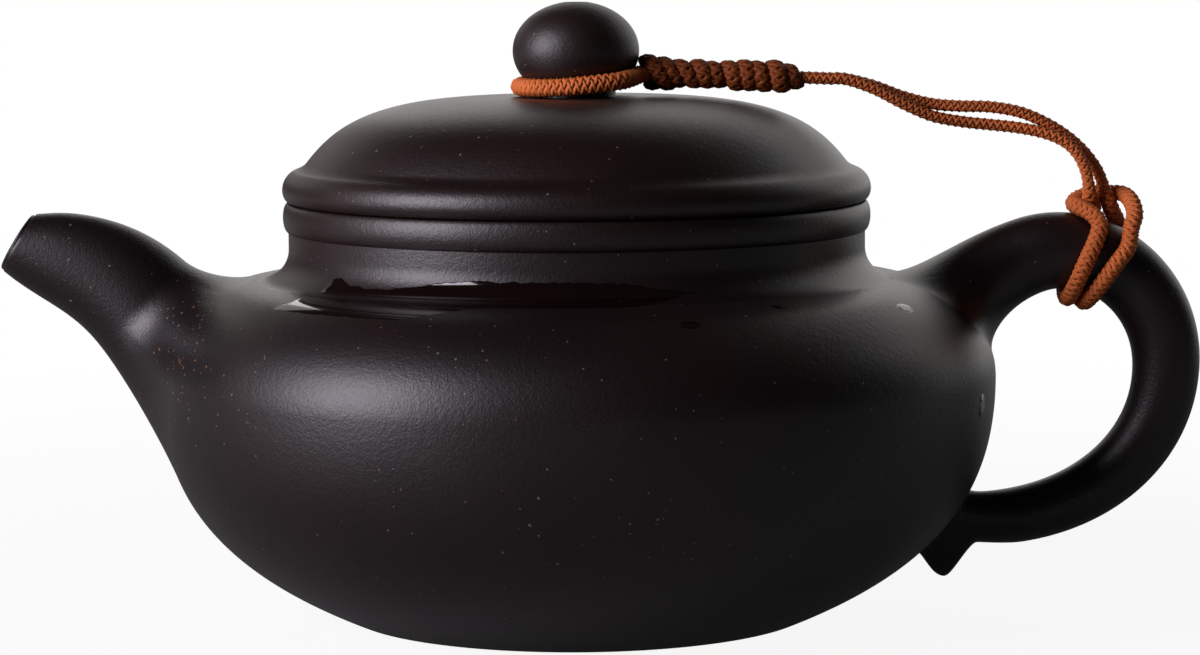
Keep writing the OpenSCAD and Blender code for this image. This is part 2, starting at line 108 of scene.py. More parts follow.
class PotSizes(bpy.types.PropertyGroup):
    """Round body, shoulder, neck and mouth."""

    base_r: size("Base radius", "Radius of the flat base that the pot stands on", 28.4)
    belly_r: size("Belly radius", "Largest radius of the belly", 50.7)
    belly_z: size("Belly height", "Height at which the belly is widest", 29)
    base_flare: angle("Base flare", "Angle at which the belly leaves the base", 23.5)
    base_pull: size("Base pull", "How long the belly keeps that angle", 18)
    hip_pull: size("Hip pull", "How long the belly stays upright below its widest part", 13.2)
    shoulder_z: size("Shoulder height", "Height of the shoulder at the foot of the neck", 41.8)
    seam_out: size("Shoulder seam", "Distance from the foot of the neck to the shoulder's seam", 4.2)
    wall: size("Wall", "Thickness of the clay wall", 3)
    mouth_r: size("Mouth radius", "Inner radius of the neck and the mouth", 31.4)
    crown_in: size("Crown", "How far outside the mouth the shoulder's curve would come to its top", 1.6)
    neck_wall: size("Neck thickness", "Thickness of the neck", 3.5)
    neck_h: size("Neck height", "Height of the neck from the shoulder to the bead", 4.9)
    neck_fillet: size("Neck fillet", "Radius of the hollow curve between the shoulder and the neck", 1.9)
    neck_round: size("Neck corner", "Radius of the wiped corner between the shoulder and the neck", 3.8)
    trough: size("Trough", "How far the shoulder is wiped down beside the neck", 0.7)
    trough_out: size("Trough width", "Distance from the neck over which it is wiped down", 7)
    bead_h: size("Bead height", "Height of the bead round the mouth", 3.5)
    bead_out: size("Bead", "How far the bead stands out from the neck", 0.65)


class LidSizes(bpy.types.PropertyGroup):
    """Lid and knob."""

    seat_gap: size("Seat gap", "Gap between the lid and the mouth that it rests on", 0.1)
    rim_h: size("Rim height", "Height of the rounded rim", 3.9)
    rim_past: size("Rim overhang", "How far the rim stands past the bead", 0.05)
    dome_step: size("Dome step", "How far inside the edge of the rim the dome springs", 2.4)
    dome_h: size("Dome height", "Height of the dome above the rim", 8.5)
    dome_wall: size("Dome thickness", "Thickness of the dome", 3)
    flange_depth: size("Flange depth", "How far the flange reaches down into the neck", 6.5)
    flange_wall: size("Flange thickness", "Thickness of the flange", 2.8)
    flange_gap: size("Flange gap", "Gap between the flange and the neck", 0.4)
    knob_r: size("Knob radius", "Largest radius of the knob", 7.65)
    knob_h: size("Knob height", "Height of the knob above the dome", 11.5)
    stem_r: size("Stem radius", "Radius of the stem that the cord goes round", 4.8)
    vent_r: size("Vent radius", "Radius of the steam vent", 1)


class SpoutSizes(bpy.types.PropertyGroup):
    """Spout."""

    throat_out: size("Throat", "Distance that the middle of the throat stands out from the belly", 2.35)
    throat_up: size("Throat place", "Height of the throat above the widest part of the belly", 9)
    reach: size("Reach", "Horizontal distance from the throat to the tip", 15)
    rise: size("Rise", "Rise from the throat to the tip", 7.5)
    throat_r: size("Throat height", "Half the outer height at the throat", 7.25)
    throat_half: size("Throat width", "Half the outer width at the throat", 6.7)
    tip_r: size("Tip radius", "Outer radius at the tip", 3.8)
    tip_wall: size("Tip thickness", "Thickness of the clay at the tip", 1.2)
    throat_wall: size("Throat thickness", "Thickness of the clay at the throat", 2.1)
    foot_half: size("Foot", "Half the width of the spout's foot on the belly", 18)
    throat_rise: angle("Throat angle", "Angle at which the spout rises from the throat", 46)
    tip_rise: angle("Tip angle", "Angle at which the spout rises at its tip", 20)
    cut_rise: angle("Cut angle", "Angle that the slanted cut at the tip faces", 31)
    hole_r: size("Strainer hole", "Radius of the hole in the belly that takes the strainer", 7)
    hole_rise: angle("Strainer angle", "Angle of the strainer's axis", 33)


class HandleSizes(bpy.types.PropertyGroup):
    """Handle."""

    reach: size("Reach", "Distance from the belly to the handle's middle where it bows out most", 21)
    top_z: size("Top height", "Height of the handle's middle where it leaves the shoulder", 43)
    bow_z: size("Bow height", "Height at which the handle bows out most", 30)
    foot_z: size("Foot height", "Height of the handle's middle where it comes back to the belly", 11.4)
    top_half: size("Top half height", "Half the height of the section at the top", 4.75)
    foot_half: size("Foot half height", "Half the height of the section at the foot", 3.4)
    width_share: share("Width share", "Width of the section as a share of its height", 0.94)
    tail_len: size("Tail", "Length of the tail pinched out under the foot", 4.4)


class CordSizes(bpy.types.PropertyGroup):
    """Braided cord and its winding."""

    cord_d: size("Cord thickness", "Thickness of the cord where it is pulled tight", 1.5)
    braid_d: size("Braid thickness", "Thickness over the yarns of the braid", 1.8)
    length: size("Cord length", "Length of the cord's loop, without the winding", 252)
    lay: size("Lay", "Length along the cord in which a yarn goes once round it", 3.4)
    yarns: count("Yarns", "Yarns in the braid, half of them each way round", 8)
    step: size("Step", "Distance between the rings of a yarn", 0.17)
    strand_y: size("Strand offset", "Half the distance between the two strands inside the winding", 1)
    whip_d: size("Winding cord", "Thickness of the cord wound round the strands", 1.35)
    whip_flat: share("Flatness", "Width of the wound cord as a share of its thickness", 1.75)
    whip_turns: count("Turns", "Turns of the winding", 10)
    whip_pitch: size("Turn to turn", "Distance from turn to turn of the winding", 1.8)
    whip_start: size("Winding start", "Distance from the pot's axis to the first turn", 8.5)


class Finishes(bpy.types.PropertyGroup):
    """Colours of the clay and the cord."""

    clay: tint("Clay", "Fired clay", (0.0056, 0.0018, 0.0024))
    clay_warm: tint("Warm clay", "Clay where the fire left it browner", (0.0130, 0.0038, 0.0030))
    sand: tint("Sand", "Pale grains in the clay", (0.16, 0.14, 0.125))
    iron: tint("Iron", "Rust-red grains in the clay", (0.36, 0.14, 0.055))
    wet: tint("Wet clay", "Clay darkened by water", (0.005, 0.0014, 0.0014))
    cord: tint("Cord", "Rust-brown yarn", (0.67, 0.170, 0.043))
    # Winding colour: the yarn's own rust-brown, darkened as painted shade for the knob's shadow over the
    # winding
    wound: tint("Winding", "Yarn of the winding, darkened by handling", (0.20, 0.042, 0.006))
    # Painted shade: the yarn colours deep in the braid and the winding, where shade falls between the yarns
    cord_painted_shade: tint("Cord shade", "Yarn deep in the braid", (0.14, 0.027, 0.007))
    winding_deep_painted_shade: tint("Winding shade", "Yarn deep in the winding", (0.03, 0.005, 0.001))


class StageSettings(bpy.types.PropertyGroup):
    """Floor, lamps and camera."""

    floor: tint("Floor", "Plain pale floor", (0.9, 0.9, 0.9))
    bounce: tint("Bounce", "How much of its light the floor throws back on to the pot", (0.25, 0.25, 0.25))
    room: bpy.props.FloatProperty(
        name="Room light", description="Strength of the even light from all round", default=0.022, min=0.0)
    window: bpy.props.FloatProperty(
        name="Soft box", description="Power of the large soft box on the left", default=18.6, min=0.0,
        unit="POWER")
    back: bpy.props.FloatProperty(
        name="Back light", description="Power of the panel behind on the left", default=0.52, min=0.0,
        unit="POWER")
    wall: bpy.props.FloatProperty(
        name="Back wall", description="Power of the faint light from the wall behind", default=6.1, min=0.0,
        unit="POWER")
    lens: bpy.props.FloatProperty(
        name="Lens", description="Focal length for a 36 mm wide sensor", default=111.51, min=1.0,
        unit="CAMERA")


# Curves and meshes


def cubic(a, b, c, d, t):
    """Point at t of the Bezier curve from a to d, with b and c as its handles."""
    t = np.asarray(t, float)[..., None]
    return a * (1 - t) ** 3 + 3 * b * (1 - t) ** 2 * t + 3 * c * (1 - t) * t * t + d * t ** 3


def cubic_way(a, b, c, d, t):
    """Direction of that curve at t, at its full length."""
    t = np.asarray(t, float)[..., None]
    return 3 * (b - a) * (1 - t) ** 2 + 6 * (c - b) * (1 - t) * t + 3 * (d - c) * t * t


def bridge(a, leaving, b, arriving, t):
    """Point at t of the curve that leaves a and arrives at b in the given directions."""
    return cubic(a, a + leaving / 3, b - arriving / 3, b, t)


def unit(v):
    return v / np.linalg.norm(v, axis=-1, keepdims=True)


def mix(a, b, t):
    return a + (b - a) * t


def smooth(t):
    """Smooth step from 0 to 1 as t goes from 0 to 1."""
    t = np.clip(t, 0.0, 1.0)
    return t * t * (3 - 2 * t)


def arc(centre, rx, rz, first, last, n):
    """Part of an oval in n steps, from first to last in degrees."""
    a = np.radians(np.linspace(first, last, n + 1))
    return np.column_stack([centre[0] + rx * np.cos(a), centre[1] + rz * np.sin(a)])


def line(*points):
    return np.array(points, float)


def eased(run):
    """The run with a short step at each end, so that the shading there has the curve's own direction."""
    near = 0.03
    return np.vstack([run[:1], mix(run[0], run[1], near), run[1:-1], mix(run[-1], run[-2], near), run[-1:]])


def clay_object(name, points, faces, body, node):
    """A closed clay piece that stands for a CAD node and rides on its body."""
    mesh = bpy.data.meshes.new(name)
    mesh.from_pydata([tuple(p) for p in points], [], faces)
    work = bmesh.new()
    work.from_mesh(mesh)
    bmesh.ops.remove_doubles(work, verts=work.verts, dist=TINY)
    bmesh.ops.recalc_face_normals(work, faces=work.faces)
    work.to_mesh(mesh)
    work.free()
    mesh.shade_smooth()
    mesh.set_sharp_from_angle(angle=CORNER)
    mesh.materials.append(clay_finish())
    piece = bpy.data.objects.new(name, mesh)
    bpy.context.scene.collection.objects.link(piece)
    dress(piece, body, "clay", node)
    return piece


def dress(piece, body, slot, *nodes):
    """Puts a piece on its body in place of the CAD nodes that it stands for."""
    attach(piece, body)
    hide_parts(*nodes)


def lathe(name, runs, body, node, segments=224):
    """Turns a closed profile about Z. Each run of (radius, height) points is smooth, its ends are corners."""
    profile = np.vstack([eased(run)[:-1] for run in runs])
    ways = np.linspace(0, 2 * math.pi, segments, endpoint=False)
    n = len(profile)
    points = np.stack([
        profile[:, 0][:, None] * np.cos(ways), profile[:, 0][:, None] * np.sin(ways),
        np.repeat(profile[:, 1][:, None], segments, axis=1)], axis=2).reshape(-1, 3)
    faces = []
    for i in range(n):
        k = (i + 1) % n
        if profile[i, 0] < TINY and profile[k, 0] < TINY:
            continue
        for j in range(segments):
            m = (j + 1) % segments
            faces.append((i * segments + j, i * segments + m, k * segments + m, k * segments + j))
    return clay_object(name, points, faces, body, node)


def ring_faces(rings, sides, looped):
    """Faces between neighbouring rings; looped joins the last ring to the first, else the ends are closed."""
    faces = []
    for i in range(rings if looped else rings - 1):
        k = (i + 1) % rings
        for j in range(sides):
            m = (j + 1) % sides
            faces.append((i * sides + j, i * sides + m, k * sides + m, k * sides + j))
    if not looped:
        faces.append(tuple(range(sides - 1, -1, -1)))
        faces.append(tuple((rings - 1) * sides + j for j in range(sides)))
    return faces


def ring(centre, a, b, half_a, half_b, sides):
    """Oval of points round centre, with the given half sizes along a and b."""
    t = np.linspace(0, 2 * math.pi, sides, endpoint=False)[:, None]
    return centre + half_a * np.cos(t) * a + half_b * np.sin(t) * b


class Belly:
    """Profile of the belly: u runs from 0 at the base, through 1 at the widest part, to 2 at the crown."""

    def __init__(self, pot):
        self.wall = pot.wall
        self.belly_r, self.belly_z = pot.belly_r, pot.belly_z
        self.neck_r = pot.mouth_r + pot.neck_wall
        self.neck_foot_r = self.neck_r + pot.neck_fillet
        self.crown_r = pot.mouth_r + pot.crown_in
        lean = (self.neck_foot_r - self.crown_r) / (pot.belly_r - self.crown_r)
        self.crown_z = pot.belly_z + (pot.shoulder_z - pot.belly_z) / math.sqrt(1 - lean * lean)
        self.trough = pot.trough
        self.trough_from = self.share_at(self.neck_foot_r + pot.trough_out)
        self.trough_to = self.share_at(self.neck_foot_r)
        flare = pot.base_pull * np.array([math.cos(pot.base_flare), math.sin(pot.base_flare)])
        self.low = [
            np.array([pot.base_r, 0.0]), np.array([pot.base_r, 0.0]) + flare,
            np.array([pot.belly_r, pot.belly_z - pot.hip_pull]), np.array([pot.belly_r, pot.belly_z])]

    def at(self, u):
        """Radius and height of the outside at u."""
        u = np.asarray(u, float)
        turn = math.pi / 2 * (u - 1)
        wiped = self.trough * smooth((u - self.trough_from) / (self.trough_to - self.trough_from))
        high = np.stack([
            self.crown_r + (self.belly_r - self.crown_r) * np.cos(turn),
            self.belly_z + (self.crown_z - self.belly_z) * np.sin(turn) - wiped], axis=-1)
        return np.where((u < 1)[..., None], cubic(*self.low, np.minimum(u, 1)), high)

    def out(self, u):
        """Direction out of the clay, square to the profile."""
        u = np.asarray(u, float)
        step = 0.002
        way = self.at(u + step) - self.at(np.maximum(u - step, 0))
        return unit(np.stack([way[..., 1], -way[..., 0]], axis=-1))

    def inner(self, u):
        """Radius and height of the inside of the wall at u."""
        return self.at(u) - self.wall * self.out(u)

    def share_at(self, r):
        """Place on the shoulder where the profile has radius r."""
        return 1 + math.acos((r - self.crown_r) / (self.belly_r - self.crown_r)) / (math.pi / 2)

    def place(self, az, u, lift=0.0):
        """Point at angle az round the pot and place u on the profile, lifted off the surface."""
        p = self.at(u) + lift * self.out(u)
        return np.stack([p[..., 0] * np.cos(az), p[..., 0] * np.sin(az), p[..., 1]], axis=-1)

    def normal(self, az, u):
        n = self.out(u)
        return np.stack([n[..., 0] * np.cos(az), n[..., 0] * np.sin(az), n[..., 1]], axis=-1)


class Foot:
    """Foot of a luted piece: an egg shape on the belly between two places low and high on its profile."""

    # How far the last stretch of a skirt dips into the belly, and the least share of its way that goes down
    SETTLE = 0.12 * MM
    LEAST_DROP = 0.05

    def __init__(self, belly, az, low, high, half, sides):
        self.belly, self.az, self.low, self.high, self.half = belly, az, low, high, half
        self.turn = np.linspace(0, 2 * math.pi, sides, endpoint=False)

    def places(self, low, high, half):
        """Angle round the pot and place on the profile of each point of an egg shape."""
        u = mix(low, high, (1 + np.cos(self.turn)) / 2)
        return self.az + np.arcsin(half / self.belly.at(u)[..., 0]) * np.sin(self.turn), u

    def drawn_in(self, low, high, half, k, lift):
        """Ring that lies a share k of the way from the foot to a smaller one inside it."""
        return self.belly.place(
            *self.places(mix(self.low, low, k), mix(self.high, high, k), mix(self.half, half, k)), lift)

    def skirt(self, start, way, pull, most, land, steps, lift):
        """Rings from a free ring to the foot.

        They keep the ring's way for between pull and most, and lie flat on the belly for land, each as a
        share of the distance.
        """
        az, u = self.places(self.low, self.high, self.half)
        foot = self.belly.place(az, u, lift)
        normal = self.belly.normal(az, u)
        away = foot - self.belly.place(self.az, (self.low + self.high) / 2)
        along = unit(away - np.sum(away * normal, axis=1, keepdims=True) * normal - self.SETTLE * normal)
        far = np.linalg.norm(foot - start, axis=1, keepdims=True)
        rise = np.sum((start - foot) * normal, axis=1, keepdims=True)
        drop = np.maximum(-np.sum(way * normal, axis=1, keepdims=True), self.LEAST_DROP)
        leaving = np.clip(3 * rise / drop, pull * far, most * far) * way
        return [bridge(start, leaving, foot, land * far * along, i / steps) for i in range(1, steps + 1)]


# Shader expressions


class Term:
    """A shader socket that takes part in sums; each operation on it adds a Math node."""

    def __init__(self, shader, socket):
        self.shader, self.socket = shader, socket

    def math(self, operation, *values):
        return self.shader.node("ShaderNodeMath", {"operation": operation}, dict(enumerate(values)))

    def __add__(self, other):
        return self.math("ADD", self, other)

    def __radd__(self, other):
        return self.math("ADD", other, self)

    def __sub__(self, other):
        return self.math("SUBTRACT", self, other)

    def __rsub__(self, other):
        return self.math("SUBTRACT", other, self)

    def __mul__(self, other):
        return self.math("MULTIPLY", self, other)

    def __rmul__(self, other):
        return self.math("MULTIPLY", other, self)

    def __truediv__(self, other):
        return self.math("DIVIDE", self, other)

    def cap(self, high):
        return self.math("MINIMUM", self, high)

    def least(self, low):
        return self.math("MAXIMUM", self, low)

    def rise(self, low, high):
        """0 below low, 1 above high and a smooth step between them; falls where low is above high."""
        if low > high:
            return 1 - self.rise(high, low)
        return self.shader.node(
            "ShaderNodeMapRange", {"interpolation_type": "SMOOTHSTEP"}, {0: self, 1: low, 2: high})

    def hump(self, middle, half):
        """1 at middle, falling smoothly to 0 at half to either side."""
        return self.math("ABSOLUTE", self - middle).rise(half, 0.0)

    def root(self):
        return self.math("SQRT", self)


class Shader:
    """A material's or the world's node tree, emptied and built from Terms."""

    def __init__(self, owner):
        owner.use_nodes = True
        self.tree = owner.node_tree
        self.tree.nodes.clear()

    def node(self, kind, settings=None, sockets=None, out=0):
        made = self.tree.nodes.new(kind)
        for name, value in (settings or {}).items():
            setattr(made, name, value)
        for name, value in (sockets or {}).items():
            if isinstance(value, Term):
                self.tree.links.new(value.socket, made.inputs[name])
            else:
                made.inputs[name].default_value = value
        return Term(self, made.outputs[out]) if len(made.outputs) else made

    def colour(self, factor, a, b):
        return self.node("ShaderNodeMix", {"data_type": "RGBA"}, {0: factor, 6: a, 7: b}, 2)

    def noise(self, where, scale, detail=2.0, roughness=0.5):
        return self.node(
            "ShaderNodeTexNoise", None,
            {"Vector": where, "Scale": scale, "Detail": detail, "Roughness": roughness})

    def attribute(self, name):
        return self.node("ShaderNodeAttribute", {"attribute_name": name}, None, "Fac")


def rgba(colour):
    return (*colour, 1.0)


def finish(name, build):
    """The named material, built once."""
    made = bpy.data.materials.get(name)
    if made is None:
        made = bpy.data.materials.new(name)
        build(Shader(made), bpy.context.scene.teapot_finishes)
    return made


def clay_finish():
    return finish("BurnishedClay", build_clay)


def cord_finish():
    return finish("BraidedCord", lambda shader, colours: build_cord(shader, colours.cord_painted_shade, colours.cord))


def wound_finish():
    return finish("WoundCord", lambda shader, colours: build_cord(shader, colours.winding_deep_painted_shade, colours.wound))


def grains(shader, where, scale, few, largest=0.2):
    """Round grains in some of the cells of a pattern: how much of one lies here, 0 to 1."""
    sockets = {"Vector": where, "Scale": scale, "Randomness": 1.0}
    far = shader.node("ShaderNodeTexVoronoi", None, sockets, "Distance")
    chance = shader.node("ShaderNodeSeparateColor", None, {
        0: shader.node("ShaderNodeTexVoronoi", None, sockets, "Color")}, 0)
    soft_edge = 0.05
    return ((chance - few) / (1 - few) * largest - far).rise(0.0, soft_edge)


# Place, turn in degrees and half sizes of the small drops that are left on the shoulder, in millimetres
DROPS = (
    ((38.0, -22.7, 39.1), 59, (1.6, 1.2, 0.7)),
    ((47.5, -17.6, 27.0), 70, (1.3, 1.2, 1.5)),
    ((23.0, -34.0, 40.7), 34, (1.2, 1.0, 0.6)),
    ((12.7, -42.1, 39.3), 17, (1.3, 1.0, 0.5)),
)
WATER_EDGE = 0.12
FILM = 0.06 * MM


def wet_patch(shader, where):
    """Water left on the shoulder and at the foot of the neck: how wet a place is, and the film's height."""
    x, y, z = (shader.node("ShaderNodeSeparateXYZ", None, {0: where}, k) for k in range(3))
    # Heights and distances from the axis in millimetres, turns in degrees from the front to the right
    out = (x * x + y * y).root() / MM
    height = z / MM
    turn = x.math("ARCTAN2", x, 0.0 - y) * math.degrees(1)
    ragged = (shader.noise(where, 500.0, 3.0, 0.6) - 0.5) * 2.0
    top = 42.1 + turn.hump(-51, 6) * 0.9 + turn.rise(-40, -20) * turn.rise(25, 4) * 1.3
    below = (top + ragged * 0.45 - height).rise(0.0, WATER_EDGE)
    edge = 38.4 - turn.rise(6, 24) * 2.6 + turn.rise(-13, -28) * 5.0
    inside = (edge + ragged * 0.25 - out).rise(0.0, WATER_EDGE)
    between = (turn + ragged * 1.5).rise(-53.5, -52.0) * turn.rise(24.5, 23.0)
    wet = below * inside * between * height.rise(36, 37)
    film = wet * FILM
    for place, turned, half in DROPS:
        drop = shader.node("ShaderNodeMapping", {"vector_type": "TEXTURE"}, {
            "Vector": where, "Location": [v * MM for v in place],
            "Rotation": (0, 0, math.radians(turned)), "Scale": [v * MM for v in half]})
        far = shader.node("ShaderNodeVectorMath", {"operation": "LENGTH"}, {0: drop}, "Value")
        bulge = (1 - far).least(0.0)
        wet = wet.least(bulge.rise(0.0, WATER_EDGE) * 0.7)
        film = film + bulge.cap(0.5) * 0.3 * (half[2] * MM)
    return wet, film


def build_clay(shader, colours):
    """Dark clay with pale and rust-red grains, browner where the fire reached it and wet on the shoulder."""
    where = shader.node("ShaderNodeTexCoord", None, None, "Object")
    cloud = shader.noise(where, 55.0, 3.0)
    fine = shader.noise(where, 3800.0, 2.0, 0.6)
    lumps = shader.noise(where, 1500.0, 2.0)
    sand = grains(shader, where, 1000.0, 0.80)
    x, z = (shader.node("ShaderNodeSeparateXYZ", None, {0: where}, k) for k in (0, 2))
    warm = (cloud.rise(0.38, 0.70) * 0.5 + z.rise(36 * MM, 55 * MM) * 0.5) * x.rise(-60 * MM, -30 * MM)
    spout_root = x.hump(-46 * MM, 11 * MM) * z.hump(34 * MM, 12 * MM)
    iron = grains(shader, where, 1250.0, 0.86 - spout_root * 0.70, 0.2 + spout_root * 0.1)
    iron = iron * (0.6 + spout_root * 0.1)
    wet, film = wet_patch(shader, where)
    dry = 1 - wet
    body = shader.colour(warm, rgba(colours.clay), rgba(colours.clay_warm))
    body = shader.colour(fine.rise(0.62, 0.85) * 0.06, body, rgba(colours.sand))
    body = shader.colour(sand * 0.6, body, rgba(colours.sand))
    body = shader.colour(iron * 0.7, body, rgba(colours.iron))
    body = shader.colour(wet * 0.9, body, rgba(colours.wet))
    knob = z.rise(64 * MM, 66 * MM)
    rough = (0.385 + cloud * 0.06 + (fine - 0.5) * 0.10 + knob * 0.05) * dry + wet * 0.07
    grain = (fine * 0.032 + lumps * 0.03 + sand * 0.03 + iron * 0.012) * MM
    bump = shader.node(
        "ShaderNodeBump", None, {"Strength": 1.0, "Distance": 1.0, "Height": grain * dry + film})
    skin = shader.node("ShaderNodeBsdfPrincipled", None, {
        "Base Color": body, "Roughness": rough, "Specular IOR Level": 0.55, "Normal": bump})
    shader.node("ShaderNodeOutputMaterial", None, {"Surface": skin})


def build_cord(shader, painted_shade_tint, light):
    """Twisted fibres, with painted shade deep in the braid, and darker beside the winding."""
    run, around, yarn = (shader.attribute(name) for name in ("run", "around", "yarn"))
    along = shader.node("ShaderNodeCombineXYZ", None, {0: around * 9.0, 1: run * 700.0, 2: yarn * 3.7})
    fibres = shader.noise(along, 1.0, 3.0, 0.6)
    where = shader.node("ShaderNodeTexCoord", None, None, "Object")
    patch = shader.noise(where, 260.0, 2.0)
    x = shader.node("ShaderNodeSeparateXYZ", None, {0: where}, 0)
    # Darker beside the winding, from x 25 mm to 60 mm
    darker_beside_winding = x.rise(25 * MM, 28 * MM) * x.rise(60 * MM, 42 * MM)
    # Painted shade: the tone falls to the shade colour on the inward side of each yarn, deep in the braid
    outer = shader.attribute("outer")
    tone = outer.rise(0.25, 0.95) * (0.62 + fibres * 0.55) * (0.75 + patch * 0.45) * (1 - darker_beside_winding * 0.45)
    body = shader.colour(tone.cap(1.0), rgba(painted_shade_tint), rgba(light))
    bump = shader.node(
        "ShaderNodeBump", None, {"Strength": 0.35, "Distance": 0.04 * MM, "Height": fibres})
    skin = shader.node("ShaderNodeBsdfPrincipled", None, {
        "Base Color": body, "Roughness": 0.66 - fibres * 0.12, "Specular IOR Level": 0.2, "Normal": bump})
    shader.node("ShaderNodeOutputMaterial", None, {"Surface": skin})


# Braided cord, made by Geometry Nodes along a path


class Braid:
    """Geometry node tree that lays yarns over and under each other along a path of edges.

    The shares of the cord's thickness: distance of a yarn from the middle, how far it rises and dips, and
    half its own height and width. SIDES is the number of sides of a yarn.
    """

    MIDDLE, WAVE, HALF_HIGH, HALF_WIDE = 0.35, 0.04, 0.115, 0.29
    SIDES = 6

    def __init__(self):
        self.tree = bpy.data.node_groups.new("BraidedCordAlongPath", "GeometryNodeTree")
        face = self.tree.interface
        face.new_socket("Geometry", in_out="INPUT", socket_type="NodeSocketGeometry")
        for name, kind in (("Thickness", "Float"), ("Lay", "Float"), ("Step", "Float"), ("Yarns", "Int"),
                           ("Finish", "Material")):
            face.new_socket(name, in_out="INPUT", socket_type="NodeSocket" + kind)
        face.new_socket("Geometry", in_out="OUTPUT", socket_type="NodeSocketGeometry")
        self.inputs = self.tree.nodes.new("NodeGroupInput")
        self.build()

    def node(self, kind, settings=None, sockets=None, out=0):
        made = self.tree.nodes.new(kind)
        for name, value in (settings or {}).items():
            setattr(made, name, value)
        for name, value in (sockets or {}).items():
            if isinstance(value, bpy.types.NodeSocket):
                self.tree.links.new(value, made.inputs[name])
            else:
                made.inputs[name].default_value = value
        return made.outputs[out] if len(made.outputs) else None

    def math(self, operation, *values):
        return self.node("ShaderNodeMath", {"operation": operation}, dict(enumerate(values)))

    def vector(self, operation, a, b=None, scale=None):
        sockets = {0: a}
        if b is not None:
            sockets[1] = b
        if scale is not None:
            sockets["Scale"] = scale
        return self.node("ShaderNodeVectorMath", {"operation": operation}, sockets)

    def keep(self, geometry, name, value, kind="FLOAT"):
        """Stores a value on the points, so that it is still there on the mesh."""
        return self.node(
            "GeometryNodeStoreNamedAttribute", {"data_type": kind, "domain": "POINT"},
            {"Geometry": geometry, "Name": name, "Value": value})

    def kept(self, name, kind="FLOAT"):
        return self.node("GeometryNodeInputNamedAttribute", {"data_type": kind}, {"Name": name})

    def build(self):
        thickness, lay = self.inputs.outputs["Thickness"], self.inputs.outputs["Lay"]
        path = self.node("GeometryNodeMeshToCurve", None, {"Mesh": self.inputs.outputs["Geometry"]})
        path = self.node("GeometryNodeResampleCurve", {"mode": "LENGTH"}, {
            "Curve": path, "Length": self.inputs.outputs["Step"]})
        normal = self.node("GeometryNodeInputNormal")
        along = self.node("GeometryNodeInputTangent")
        path = self.keep(path, "mid", self.node("GeometryNodeInputPosition"), "FLOAT_VECTOR")
        path = self.keep(path, "side", normal, "FLOAT_VECTOR")
        path = self.keep(path, "rise", self.vector("CROSS_PRODUCT", along, normal), "FLOAT_VECTOR")
        path = self.keep(path, "run", self.node("GeometryNodeSplineParameter", None, None, "Length"))
        copies = self.tree.nodes.new("GeometryNodeDuplicateElements")
        copies.domain = "SPLINE"
        self.tree.links.new(path, copies.inputs["Geometry"])
        self.tree.links.new(self.inputs.outputs["Yarns"], copies.inputs["Amount"])
        yarns = self.keep(copies.outputs["Geometry"], "yarn", copies.outputs["Duplicate Index"])
        # Only the order of the section's points counts, because lay_yarns puts each of them in its place
        section = self.node("GeometryNodeCurvePrimitiveCircle", None, {
            "Resolution": self.SIDES, "Radius": 0.1 * MM})
        section = self.keep(
            section, "around", self.node("GeometryNodeSplineParameter", None, None, "Factor"))
        mesh = self.node("GeometryNodeCurveToMesh", None, {
            "Curve": yarns, "Profile Curve": section, "Fill Caps": True})
        self.lay_yarns(mesh, thickness, lay)

    def lay_yarns(self, mesh, thickness, lay):
        """Half of the yarns go each way round, and each passes over one yarn and under the next."""
        thickness = self.math("MULTIPLY", thickness, self.kept("stout"))
        run, yarn, around = self.kept("run"), self.kept("yarn"), self.kept("around")
        half = self.math("DIVIDE", self.inputs.outputs["Yarns"], 2.0)
        way = self.math("SUBTRACT", 1.0, self.math("MULTIPLY", 2.0, self.math("MODULO", yarn, 2.0)))
        place = self.math("FLOOR", self.math("DIVIDE", yarn, 2.0))
        turn = self.math("DIVIDE", self.math("MULTIPLY", run, 2 * math.pi), lay)
        spot = self.math("ADD", self.math("MULTIPLY", way, turn), self.math(
            "DIVIDE", self.math("MULTIPLY", place, 2 * math.pi), half))
        over = self.math("MULTIPLY", way, self.math("COSINE", self.math("MULTIPLY", turn, half)))
        middle = self.math("MULTIPLY", thickness, self.math("MULTIPLY_ADD", over, self.WAVE, self.MIDDLE))
        lean = self.math("MULTIPLY", around, 2 * math.pi)
        outer = self.math("COSINE", lean)
        deep = self.math("MULTIPLY_ADD", outer, self.math("MULTIPLY", thickness, self.HALF_HIGH), middle)
        wide = self.math("DIVIDE", self.math("MULTIPLY", self.math("SINE", lean), self.math(
            "MULTIPLY", thickness, self.HALF_WIDE)), middle)
        spot = self.math("ADD", spot, wide)
        aside = self.vector("SCALE", self.kept("side", "FLOAT_VECTOR"), scale=self.math(
            "MULTIPLY", deep, self.math("COSINE", spot)))
        above = self.vector("SCALE", self.kept("rise", "FLOAT_VECTOR"), scale=self.math(
            "MULTIPLY", deep, self.math("SINE", spot)))
        put = self.vector("ADD", self.kept("mid", "FLOAT_VECTOR"), self.vector("ADD", aside, above))
        # The cord's finish paints shade from this share, darker deep in the braid
        mesh = self.keep(mesh, "outer", self.math("DIVIDE", deep, self.math("MULTIPLY", thickness, 0.5)))
        mesh = self.node("GeometryNodeSetPosition", None, {"Geometry": mesh, "Position": put})
        mesh = self.node("GeometryNodeSetShadeSmooth", None, {"Geometry": mesh})
        mesh = self.node("GeometryNodeRealizeInstances", None, {"Geometry": mesh})
        mesh = self.node("GeometryNodeSetMaterial", None, {
            "Geometry": mesh, "Material": self.inputs.outputs["Finish"]})
        self.node("NodeGroupOutput", None, {"Geometry": mesh})


